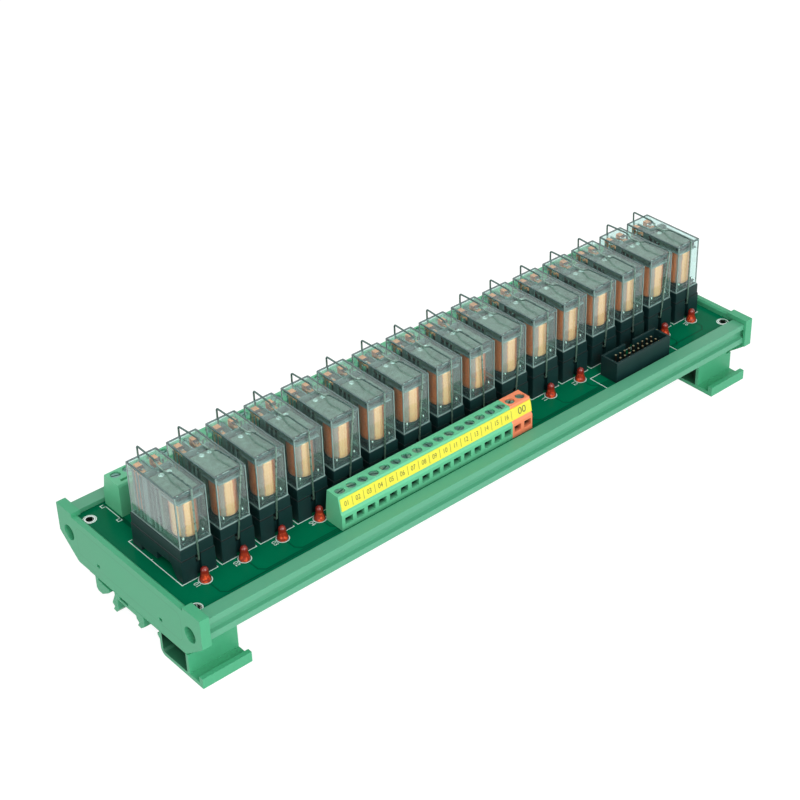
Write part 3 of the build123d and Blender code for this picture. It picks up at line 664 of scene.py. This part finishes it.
def make_finishes(c):
    """Fills FINISH with every material, from the colour properties."""
    SHARED.update(skin=skin_group(), outline=outline_group())
    skinned("carrier_plastic", c.carrier, size=6.0, grain=0.5, stretch=(0.03, 1, 1), rough=0.38)
    skinned("header_plastic", c.socket, spread=0.3, size=6.0, grain=0.2, bump=0.03, rough=0.40,
            Specular_IOR_Level=0.3)
    skinned("label_film", c.label, spread=0.08, size=10.0, rough=0.35)
    skinned("digit_ink", c.digits, spread=0.2, size=3.0, rough=0.5)
    skinned("silk_ink", c.silk, spread=0.14, size=2.0, grain=0.1, bump=0.01, rough=0.5)
    skinned("silver_metal", c.silver, spread=0.3, size=1.5, grain=0.2, bump=0.01, rough=0.25, Metallic=1.0)
    skinned("screw_steel", c.screw, spread=0.5, size=1.2, grain=0.12, rough=0.32, Metallic=0.85)
    skinned("track_mask", c.track, spread=0.2, size=9.0, grain=0.3, bump=0.01, rough=0.3,
            Specular_IOR_Level=0.04)
    skinned("inner_wall", c.inner, spread=0.4, size=2.5, grain=0.6, rough=0.25, Transmission_Weight=0.35,
            IOR=1.3)
    skinned("cover_rim", c.rim, spread=0.5, size=2.0, grain=1.0, rough=0.2, Transmission_Weight=0.3, IOR=1.3)
    skinned("cover_top_rim", c.rim_top, spread=0.5, size=2.5, grain=1.0, rough=0.2, Transmission_Weight=0.3,
            IOR=1.3)

    zoned("socket_plastic", (0.001, 0.004, 0.004), socket_painted_shade, c.socket, spread=0.35, size=7.0, grain=0.18,
          bump=0.04, rough=0.42, Specular_IOR_Level=0.3)
    rib = COVERS[0, 2] + 2.0 * MM
    zoned("base_plastic", c.inner, ("Z", rib, rib + 0.1 * MM), c.base, spread=0.3, size=5.0)
    # The terminal blocks' wire entries get painted shade, near black
    for name, tint, box, back in (("terminal_plastic", c.terminal, SIGNAL, False),
                                  ("common_plastic", c.common, COMMON, False),
                                  ("contact_plastic", c.terminal, CONTACT, True)):
        zoned(name, (0.004, 0.012, 0.009), lambda tree: wire_entry_shade(tree, box, back), tint, spread=0.08,
              size=9.0, rough=0.42)
    # What lies below the coils' lower flange is in shade
    floor = WINDINGS[0, 2] + 0.05 * MM
    shade = ("Z", floor + 0.02 * MM, floor)
    zoned("bobbin_plastic", c.base, shade, c.bobbin, spread=0.3, size=4.0)
    zoned("yoke_steel", c.base, shade, c.steel, spread=0.4, size=3.0, grain=0.15, bump=0.01, rough=0.4)
    edge = COVER_FRONT + 24.9 * MM
    zoned("contact_copper", c.card, ("Y", edge + 0.05 * MM, edge), c.copper, spread=0.5, size=1.6, grain=0.2,
          rough=0.35, Metallic=0.2)
    # The clip's raised runs get a darker tone, painted shade on the same wire
    crest = COVERS[1, 2] + 1.35 * MM
    zoned("clip_steel", c.wire_raised_shade, ("Z", crest, crest + 0.4 * MM), c.wire, spread=0.6, size=1.5, grain=0.2,
          bump=0.01, rough=0.28, Metallic=0.75)
    # Below their tips, the pins' sides get painted shade, near black
    tips = PINS[1, 2] - 0.12 * MM
    zoned("pin_plating", (0.02, 0.016, 0.01), ("Z", tips, tips - 0.1 * MM), c.pin, spread=0.3, size=1.0,
          grain=0.1, bump=0.01, rough=0.3, Metallic=0.3)
    # Armature plates get painted shade, near black, on their front end over the pole, and their card stands before
    # the bronze blades
    lip = ARMATURES[0][0, 1] + 1.5 * MM
    zoned("armature_plating", (0.02, 0.03, 0.028), ("Y", lip + 0.1 * MM, lip), c.steel, spread=1.3, size=1.8,
          grain=0.2, bump=0.03, rough=0.5, Metallic=0.3)
    tree, shader, skin = skinned("spring_blades", c.bronze, spread=0.3, size=2.0, grain=0.2, bump=0.01,
                                 rough=0.32, Metallic=0.2)
    fill(tree, shader, Base_Color=mixed(tree, above(tree, "Y", COVER_FRONT + 21.0 * MM), c.card, skin))
    for paint in (paint_mouldings, paint_board, paint_covers, paint_windings, paint_lamps):
        paint(c)


CARRIED = {
    "carrier_profile": "carrier_plastic", "circuit_board": "board_mask",
    "end_cap_left": "moulded_plastic", "end_cap_right": "moulded_plastic",
    "rail_foot_left": "moulded_plastic", "rail_foot_right": "moulded_plastic",
    "relay_sockets": "socket_plastic", "relay_bases": "base_plastic", "relay_covers": "clear_cover",
    "magnet_yokes": "yoke_steel", "coil_bobbins": "bobbin_plastic", "fixed_contacts": "contact_copper",
    "signal_terminals": "terminal_plastic", "common_terminals": "common_plastic",
    "contact_terminals": "contact_plastic", "label_strip": "label_film",
    "header_shell": "header_plastic", "header_pins": "pin_plating",
}


def soften(node, width, angle=40):
    """Rounds a carried node's edges: its triangles are welded, flat faces joined, and sharp edges bevelled."""
    obj = NODES[node]
    weld = obj.modifiers.new("weld", "WELD")
    weld.merge_threshold = 0.001 * MM
    flat = obj.modifiers.new("flat", "DECIMATE")
    flat.decimate_type = "DISSOLVE"
    flat.angle_limit = math.radians(1)
    round_off = obj.modifiers.new("edges", "BEVEL")
    round_off.width = width
    round_off.segments = 2
    round_off.limit_method = "ANGLE"
    round_off.angle_limit = math.radians(angle)
    round_off.harden_normals = False


class RELAYBOARD_OT_camera(bpy.types.Operator):
    """Camera at the photograph's place"""
    bl_idname = "relayboard.camera"
    bl_label = "Camera"

    def execute(self, context):
        s = context.scene.relayboard_camera
        ca, sa = math.cos(s.azimuth), math.sin(s.azimuth)
        ce, se = math.cos(s.elevation), math.sin(s.elevation)
        ahead = Vector((sa * ce, ca * ce, -se))
        right = Vector((ca, -sa, 0))
        up = right.cross(ahead)
        cr, sr = math.cos(s.roll), math.sin(s.roll)
        right, up = cr * right + sr * up, cr * up - sr * right
        picture = 800
        data = bpy.data.cameras.new("photo_camera")
        data.sensor_width = 36
        data.lens = s.focal_px * data.sensor_width / picture
        data.shift_x = 0.5 - s.centre_px[0] / picture
        data.shift_y = s.centre_px[1] / picture - 0.5
        data.clip_start, data.clip_end = 0.01, 20
        camera = bpy.data.objects.new("photo_camera", data)
        turn = Matrix((right, up, -ahead)).transposed().to_4x4()
        camera.matrix_world = Matrix.Translation(s.place) @ turn
        context.scene.collection.objects.link(camera)
        context.scene.camera = camera
        return {"FINISHED"}


class RELAYBOARD_OT_finishes(bpy.types.Operator):
    """Materials, and the finish and soft edges of the carried pieces"""
    bl_idname = "relayboard.finishes"
    bl_label = "Finishes"

    def execute(self, context):
        make_finishes(context.scene.relayboard_colours)
        s = context.scene.relayboard_sizes
        rockers = {f"{node}_{channel}": finish for channel in CHANNELS
                   for node, finish in (("contact_springs", "spring_blades"), ("armature", "armature_plating"))}
        for node, finish in {**CARRIED, **rockers}.items():
            slots = NODES[node].data.materials
            slots.clear()
            slots.append(FINISH[finish])
        for node in ("end_cap_left", "end_cap_right", "rail_foot_left", "rail_foot_right"):
            soften(node, s.edge)
        for node in ("carrier_profile", "relay_sockets", "header_shell", "relay_covers"):
            soften(node, s.fine_edge * 1.4)
        for node in ("signal_terminals", "common_terminals", "contact_terminals"):
            soften(node, s.fine_edge)
        return {"FINISHED"}


class RELAYBOARD_OT_silkscreen(bpy.types.Operator):
    """White printing on the board: outlines, rings and plain channel numbers"""
    bl_idname = "relayboard.silkscreen"
    bl_label = "Silkscreen"

    def execute(self, context):
        s = context.scene.relayboard_sizes
        left = MIDDLES[0] - COVER_HALF - 1.3 * MM
        right = left + 14.6 * MM
        front, rear, tick = COVER_FRONT - 0.9 * MM, COVERS[1, 1] + 2.6 * MM, 1.5 * MM
        lamp_ring, hole_ring, number_height = mm((2.35, 2.32, 1.9))
        bracket = [(right, front + tick), (right, front), (left, front), (left, rear), (left + tick, rear)]
        lamp_x, lamp_y = MIDDLES[0] + LAMP_SHIFT, LAMPS[:, 1].mean()
        ring = stripe(circle(lamp_ring, 40, lamp_x, lamp_y), s.silk_line, True)
        parts = [per_relay(gathered([stripe(bracket, s.silk_line), ring]), -MIDDLES[0])]
        for channel, x in zip(CHANNELS, MIDDLES):
            number = laid(letters(channel, number_height), (0, 0, 0), (0, -1, 0), (1, 0, 0))
            parts.append(moved(number, (x + LAMP_SHIFT - 3.7 * MM, lamp_y - 0.4 * MM, 0)))
        corners = [(sx * 131.9 * MM, y * MM) for sx in (-1, 1) for y in (-33.0, 31.6)]
        parts += [stripe(circle(hole_ring, 40, x, y), 0.4 * MM, True) for x, y in corners]
        # Line round the header, lines beside the contact terminals, and squares at their left end
        beside_header, behind, aside, before = mm((5.0, 0.6, 0.9, 0.5))
        x0, x1, y0, y1 = HEADER[0, 0] - beside_header, HEADER[1, 0] + beside_header, *HEADER[:, 1]
        parts.append(stripe([(x0, y0), (x0, y1 + behind), (x1, y1 + behind), (x1, y0)], s.silk_line))
        x0, x1, y0, y1 = CONTACT[0, 0] - aside, CONTACT[1, 0] + aside, CONTACT[0, 1] - before, CONTACT[1, 1]
        parts += [stripe([(x, y0), (x, y1)], s.silk_line) for x in (x0, x1)]
        parts += [stripe(oblong(x0 - 1.5 * MM, x0, y - 0.7 * MM, y + 0.7 * MM), s.silk_line, True)
                  for y in (y0, y1 - 0.9 * MM)]
        piece("board_printing", moved(gathered(parts), (0, 0, BOARD_TOP + s.silk_rise)), "silk_ink")
        pad = turned(mm([(1.5, -1.5), (1.5, 0.05), (2.02, 0.05), (2.02, 0.01), (1.58, 0.01), (1.58, -1.5)]), 32,
                     hollow=True)
        dot = turned(mm([(0.38, 0), (0.38, 0.05), (0.25, 0.12)]), 12)
        pads = repeated(pad, [(x, y, BOARD_TOP) for x, y in corners])
        dots = per_relay(dot, -COVER_HALF - 0.7 * MM, COVER_FRONT + 17.7 * MM, BOARD_TOP)
        piece("board_pads", gathered([pads, dots]), "silver_metal")
        return {"FINISHED"}


class RELAYBOARD_OT_tracks(bpy.types.Operator):
    """Copper tracks under the mask, as faint raised lines"""
    bl_idname = "relayboard.tracks"
    bl_label = "Tracks"

    def execute(self, context):
        lamp_front = LAMPS[:, 1].mean() - 1.5 * MM
        first_lane, lane_pitch, pin_pitch, corner, thin, wide = mm((-33.6, 0.8, 2.54, 2.0, 0.55, 1.6))
        runs = []
        for i, x in enumerate(MIDDLES):
            # Four lanes in turn; the first eight runs end at the signal terminals, the rest at the header
            start, lane = x + LAMP_SHIFT, first_lane + lane_pitch * (i % 4)
            end = ROW_LEFT["signal"] + (i + 0.5) * POLE if i < 8 else HEADER[0, 0] + (i - 6) * pin_pitch
            turn = math.copysign(corner, end - start)
            runs.append(stripe([(start, lamp_front), (start, lane + corner), (start + turn, lane),
                                (end, lane)], thin))
            runs += [stripe([(x + d, COVERS[1, 1] + 1 * MM), (x + d, CONTACT[0, 1] + 2 * MM)], wide)
                     for d in (-2 * MM, 3 * MM)]
        piece("board_tracks", moved(gathered(runs), (0, 0, BOARD_TOP + 0.012 * MM)), "track_mask")
        return {"FINISHED"}


class RELAYBOARD_OT_terminals(bpy.types.Operator):
    """Round wells and slotted screws of the terminal blocks, and the numbers on the strip"""
    bl_idname = "relayboard.terminals"
    bl_label = "Terminals"

    def execute(self, context):
        s = context.scene.relayboard_sizes
        top, inset = SIGNAL[1, 2], 4.5 * MM
        rows = {"signal": (16, SIGNAL[0, 1] + inset, "terminal_plastic", "terminal_green"),
                "common": (2, COMMON[0, 1] + inset, "common_plastic", "terminal_orange"),
                "contact": (48, CONTACT[1, 1] - inset, "contact_plastic", "terminal_green")}
        # Each well is lined by a thin sleeve, whose lip lies over the block's top
        wall, (over, under, lip, sleeve, deep) = s.well_radius, mm((0.02, 0.05, 0.48, 0.04, 4.0))
        liner = turned([(wall + lip, -under), (wall + lip, over), (wall, over), (wall, -deep),
                        (wall + sleeve, -deep), (wall + sleeve, -under)], 28, hollow=True)
        half = np.pi / 2 - math.asin(s.screw_slot / 2 / s.screw_radius)
        t = np.linspace(-half, half, 13)
        edge = np.column_stack([s.screw_radius * np.cos(t), s.screw_radius * np.sin(t)])
        # A head is a drum up to its slot's floor, with a cheek on each side of the slot
        high, slot_floor, foot = -s.screw_drop, -s.screw_drop - 0.8 * MM, -3.9 * MM
        drum = turned([(s.screw_radius, foot), (s.screw_radius, slot_floor)], 24)
        head = gathered([drum, drawn(edge, slot_floor, high), drawn(-edge, slot_floor, high)])
        rng = np.random.default_rng(16)
        screws = []
        for key, (poles, y, finish, slot) in rows.items():
            places = [(ROW_LEFT[key] + (i + 0.5) * POLE, y, top) for i in range(poles)]
            piece(f"{key}_wells", repeated(liner, places), finish)
            for place in places:
                a = rng.uniform(0, np.pi)
                turn = np.array([[np.cos(a), np.sin(a), 0], [-np.sin(a), np.cos(a), 0], [0, 0, 1]])
                screws.append(moved((head[0] @ turn, head[1]), place))
        piece("terminal_screws", gathered(screws), "screw_steel")

        low = np.array([0, SIGNAL[0, 1] + 0.5 * MM, BOARD_TOP + 7.0 * MM])
        high_edge = np.array([0, SIGNAL[0, 1] + 1.8 * MM, top])
        slope = (high_edge - low) / np.linalg.norm(high_edge - low)
        out = np.cross((1, 0, 0), slope)
        middle = (low + high_edge) / 2 - slope * 0.2 * MM + out * 0.33 * MM
        bar = stripe([(0, -1.75 * MM), (0, 1.75 * MM)], 0.16 * MM)
        marks = []
        for i, channel in enumerate(CHANNELS):
            at = middle + (ROW_LEFT["signal"] + (i + 0.5) * POLE, 0, 0)
            marks.append(laid(letters(channel, s.digit_height), at, (0.8, 0, 0), slope))
            marks.append(laid(bar, at + (POLE / 2, 0, 0), (1, 0, 0), slope))
        at = middle + (COMMON[:, 0].mean() + 0.3 * MM, 0, 0)
        marks.append(laid(letters("00", s.digit_height * 1.45), at, (1.05, 0, 0), slope))
        piece("strip_numbers", gathered(marks), "digit_ink")
        return {"FINISHED"}


class RELAYBOARD_OT_relays(bpy.types.Operator):
    """Coils, rivets, contact buttons, tabs, and strips whose colour paints the light in the clear covers' thick
    edges
    """
    bl_idname = "relayboard.relays"
    bl_label = "Relays"

    def execute(self, context):
        low, high = WINDINGS[:, 2]
        h = np.linspace(0, 1, 33)
        ends = np.clip(np.minimum(h / 0.14, (1 - h) / 0.05), 0, 1)
        wide = 0.80 + 0.20 * np.sqrt(1 - (1 - ends) ** 2)
        coil, faces = turned(np.column_stack([wide, low + (high - low) * h]), 40)
        # The winding is oval, longer along the relay, and stands a little behind the core's middle
        coil = coil * (4.45 * MM, 4.6 * MM, 1)
        piece("wound_coils", per_relay((coil, faces), y=WINDINGS[:, 1].mean() + 0.3 * MM), "wire_winding",
              replaces=("coil_windings",), smooth=60)

        rivet = turned(mm([(1.05, -0.3), (1.05, 0.08), (0.9, 0.22), (0.72, 0.24), (0.66, 0.1), (0.4, 0.12),
                           (0.05, 0.16)]), 24)
        button = turned(mm([(0.6, -0.12), (0.75, -0.1), (0.75, 0), (0.75, 0.1), (0.6, 0.12)]), 18)
        tongue = drawn(mm([(-2.3, 0), (0.5, 0), (0.7, 0.45), (-2.1, 0.5)]), -0.1 * MM, 0.12 * MM)
        bead = (rivet[0] * 0.42, rivet[1])
        for x, channel, plate, blades in zip(MIDDLES, CHANNELS, ARMATURES, SPRINGS):
            body, top = f"rocker_{channel}", plate[1, 2]
            rivets = repeated(rivet, [(x + d, COVER_FRONT + 15.2 * MM, top) for d in (-1.05 * MM, 2.1 * MM)])
            tip = moved(tongue, (x, COVER_FRONT + TAB_BACK, top))
            drop = moved(bead, (x - TAB_SIDE, COVER_FRONT + 1.7 * MM, top))
            piece(f"plate_rivets_{channel}", gathered([rivets, tip, drop]), "silver_metal", body)
            spots = [(x + d, blades[1, 1] - 1.1 * MM, blades[0, 2] + z) for d in (-3.2 * MM, 3.2 * MM)
                     for z in (0.35 * MM, 0.85 * MM)]
            piece(f"blade_buttons_{channel}", repeated(button, spots), "silver_metal", body)
        self.coil_tabs()
        self.inner_walls()
        self.cover_rims_edge_light()
        return {"FINISHED"}

    def coil_tabs(self):
        """Solder tabs inside the front of each cover, each with a drop of solder."""
        tab = drawn(mm(oblong(-0.35, 0.35, -0.25, 0.25)), 0, 3.2 * MM)
        blob = turned(mm([(0.1, 0), (0.32, 0.3), (0.42, 0.8), (0.28, 1.3), (0.1, 1.5)]), 14)
        lug = gathered([tab, moved(blob, (0, -0.2 * MM, 1.6 * MM))])
        spots = [(x + d, COVER_FRONT + TAB_BACK, COVERS[0, 2] + 0.6 * MM) for x in MIDDLES
                 for d in (-TAB_SIDE, TAB_SIDE)]
        piece("coil_tabs", repeated(lug, spots), "silver_metal")

    def inner_walls(self):
        """Rib across the relay behind the plate, and posts beside the contacts. Each box is its left end and
        its width, its first and last millimetre behind the cover's front, and its top."""
        low, high = COVERS[0, 2] + 0.7 * MM, COVERS[1, 2] - 0.9 * MM
        half, post = COVER_HALF - 0.8 * MM, 0.5 * MM
        sides = (-half, half - post)
        boxes = [(-half, 2 * half, 19.3, 19.9, high)] + [(a, post, 17.2, 19.3, high) for a in sides]
        boxes += [(a, post, d, d + 0.35, high - 1.2 * MM) for a in sides for d in (12.2, 14.6, 21.4, 23.4, 25.6)]
        shapes = [drawn(oblong(a, a + w, COVER_FRONT + c * MM, COVER_FRONT + d * MM), low, top)
                  for a, w, c, d, top in boxes]
        piece("inner_walls", per_relay(gathered(shapes)), "inner_wall")

    def cover_rims_edge_light(self):
        """Each rim is a square section carried round the cover: at its foot just outside its wall, and
        under its top inside it, with a bar up each corner. Their colours are painted light of the covers'
        thick clear edges: pale at the foot and up the corners, darker along the top. The foot rim is also a
        real flange."""
        over, foot_wide, bar_wide, bar_in, top_wide, top_in = mm((0.04, 0.42, 0.36, 0.12, 0.5, 0.14))
        x0, x1 = -COVER_HALF - over, COVER_HALF + over
        y0, y1 = COVERS[0, 1] - over, COVERS[1, 1] + over
        z0, z1, top = COVERS[0, 2] + 0.01 * MM, COVERS[0, 2] + 0.5 * MM, COVERS[1, 2] - 0.08 * MM

        def rim(inset, wide, low, high):
            loop = [[(x, y, z) for x, y in oblong(x0 + d, x1 - d, y0 + d, y1 - d)]
                    for d, z in ((inset, low), (inset, high), (inset + wide, high), (inset + wide, low))]
            return net(np.array(loop), along=True)

        bars = [drawn(oblong(x, x + bar_wide, y, y + bar_wide), z1, top)
                for y in (y0 + bar_in, y1 - bar_in - bar_wide) for x in (x0 + bar_in, x1 - bar_in - bar_wide)]
        foot = gathered([rim(0, foot_wide, z0, z1)] + bars)
        piece("cover_rims_edge_light", per_relay(foot), "cover_rim")
        piece("cover_top_rims_edge_light", per_relay(rim(top_in, top_wide, top - top_wide, top)), "cover_top_rim")


class RELAYBOARD_OT_clips(bpy.types.Operator):
    """Round, softly bent wire clips over the relays"""
    bl_idname = "relayboard.clips"
    bl_label = "Clips"

    def execute(self, context):
        s = context.scene.relayboard_sizes
        r = s.clip_wire / 2
        top, front = COVERS[1, 2], CLIPS[0, 1] + r
        hook = BOARD_TOP + 6.9 * MM
        crest, rear, y0 = top + 1.9 * MM, CLIPS[1, 1] - r, COVER_FRONT
        touch = top + 0.07 * MM + r
        # Each clip's front corner stands this far to the right of its relay's middle, in millimetres
        leans = (0.1, 3.7, 2.0, -0.3, 3.0, 1.0, 2.6, 0.0, -1.3, 2.7, 0.3, 0.8, 2.4, -0.5, 3.2, 0.1)
        clips = []
        for x, lean in zip(MIDDLES, leans):
            route = [(0, y0 + 0.6 * MM, hook), (0, front, hook), (0, front, crest),
                     (0, y0 + 10.9 * MM, crest), (0, y0 + 13.4 * MM, touch), (0, y0 + 18.4 * MM, touch),
                     (0, y0 + 20.6 * MM, crest + 0.2 * MM), (0, rear, top + 2.4 * MM),
                     (0, rear - 0.5 * MM, hook), (0, COVERS[1, 1] - 0.6 * MM, hook)]
            wire, faces = piped(eased(route, s.clip_bend), r, 12)
            lift = np.clip((wire[:, 2] - hook) / (touch - hook), 0, 1)
            ahead = np.clip((rear - wire[:, 1]) / (rear - front), 0, 1)
            bent = wire + np.column_stack([lean * MM * lift * (0.15 + 0.85 * ahead), 0 * lift, 0 * lift])
            clips.append((bent + (x, 0, 0), faces))
        piece("wire_clips", gathered(clips), "clip_steel", replaces=("retaining_clips",), smooth=60)
        return {"FINISHED"}


class RELAYBOARD_OT_lamps(bpy.types.Operator):
    """Domed indicator lamps with a wider foot"""
    bl_idname = "relayboard.lamps"
    bl_label = "Lamps"

    def execute(self, context):
        s = context.scene.relayboard_sizes
        low, high = LAMPS[:, 2]
        r = 1.38 * MM
        t = np.linspace(0, np.pi / 2, 9)[:-1]
        dome = np.column_stack([r * np.cos(t), high - r + r * np.sin(t)])
        foot = [(s.lamp_flange, low + 0.03 * MM), (s.lamp_flange, low + 1.0 * MM),
                (s.lamp_flange - 0.15 * MM, low + 1.25 * MM), (r + 0.42 * MM, low + 1.6 * MM),
                (r + 0.2 * MM, low + 2.2 * MM), (r + 0.08 * MM, low + 2.9 * MM)]
        lamp = turned(np.vstack([foot, dome, [(0.05 * MM, high)]]), 32)
        piece("domed_lamps", per_relay(lamp, LAMP_SHIFT, LAMPS[:, 1].mean()), "lamp_plastic",
              replaces=("indicator_lamps",))
        return {"FINISHED"}


class RELAYBOARD_OT_studio(bpy.types.Operator):
    """Pale ground, soft lamps and a white surround"""
    bl_idname = "relayboard.studio"
    bl_label = "Studio"

    def clear_path(self, tree):
        """Mask of camera, glossy and transmitted rays that met no matt surface yet."""
        rays = add(tree, "LightPath").outputs
        seen = either(tree, rays["Is Camera Ray"], rays["Is Glossy Ray"], rays["Is Transmission Ray"])
        return times(tree, seen, calc(tree, "LESS_THAN", rays["Diffuse Depth"], 0.5))

    def execute(self, context):
        s = context.scene.relayboard_studio
        scene = context.scene
        scene.view_settings.view_transform = "Standard"
        world = bpy.data.worlds.new("surround")
        world.use_nodes = True
        scene.world = world
        tree = world.node_tree
        tree.nodes.clear()
        sky, bright = (add(tree, "Background", (1, 1, 1, 1), strength).outputs[0] for strength in (s.ambient, 1.0))
        both = add(tree, "MixShader", self.clear_path(tree), sky, bright)
        add(tree, "OutputWorld", both.outputs[0])

        material, tree, shader = blank("pale_floor", Base_Color=(0.92, 0.92, 0.92, 1), Roughness=0.8)
        glow = add(tree, "Emission", (1, 1, 1, 1), s.ground).outputs[0]
        both = add(tree, "MixShader", times(tree, self.clear_path(tree), 0.8), shader.outputs[0], glow)
        fill(tree, tree.nodes["Material Output"], both.outputs[0])
        half = s.floor / 2
        ground = bpy.data.meshes.new("ground")
        ground.from_pydata([(x, y, 0) for x, y in oblong(-half, half, -half, half)], [], [(0, 1, 2, 3)])
        floor = bpy.data.objects.new("ground", ground)
        ground.materials.append(material)
        scene.collection.objects.link(floor)

        for name, power, side, place in (("key_lamp", s.key, 0.8, (-0.16, -0.96, 0.62)),
                                         ("fill_lamp", s.fill, 0.8, (-1.1, -0.2, 0.5)),
                                         ("top_lamp", s.top, 1.0, (0.1, 0.3, 1.1)),
                                         ("spark_lamp", s.spark, 0.09, (-0.62, -0.62, 1.0))):
            data = bpy.data.lights.new(name, "AREA")
            data.energy, data.size = power, side
            lamp = bpy.data.objects.new(name, data)
            aim = Vector((0, 0, 0.03)) - Vector(place)
            lamp.matrix_world = Matrix.Translation(place) @ aim.to_track_quat("-Z", "Y").to_matrix().to_4x4()
            scene.collection.objects.link(lamp)
        return {"FINISHED"}


STEPS = (RELAYBOARD_OT_camera, RELAYBOARD_OT_finishes, RELAYBOARD_OT_tracks, RELAYBOARD_OT_silkscreen,
         RELAYBOARD_OT_terminals, RELAYBOARD_OT_relays, RELAYBOARD_OT_clips, RELAYBOARD_OT_lamps,
         RELAYBOARD_OT_studio)
GROUPS = {"relayboard_camera": CameraSizes, "relayboard_colours": BoardColours,
          "relayboard_sizes": PieceSizes, "relayboard_studio": StudioSizes}


class RELAYBOARD_PT_panel(bpy.types.Panel):
    """Lists the pieces and the stage"""
    bl_label = "Relay Board"
    bl_idname = "RELAYBOARD_PT_panel"
    bl_space_type = "VIEW_3D"
    bl_region_type = "UI"
    bl_category = "Relay Board"

    def draw(self, context):
        for step in STEPS:
            self.layout.operator(step.bl_idname)
        for key, group in GROUPS.items():
            box = self.layout.box()
            for name in group.__annotations__:
                box.prop(getattr(context.scene, key), name)


def register():
    """Registers the property groups, operators and panel."""
    for cls in (*GROUPS.values(), *STEPS, RELAYBOARD_PT_panel):
        bpy.utils.register_class(cls)
    for key, group in GROUPS.items():
        setattr(bpy.types.Scene, key, PointerProperty(type=group))


def unregister():
    """Takes them out again."""
    for key in GROUPS:
        delattr(bpy.types.Scene, key)
    for cls in reversed((*GROUPS.values(), *STEPS, RELAYBOARD_PT_panel)):
        bpy.utils.unregister_class(cls)


def main():
    """Makes every piece in order."""
    register()
    for step in STEPS:
        group, name = step.bl_idname.split(".")
        getattr(getattr(bpy.ops, group), name)()


if __name__ == "__main__":
    main()
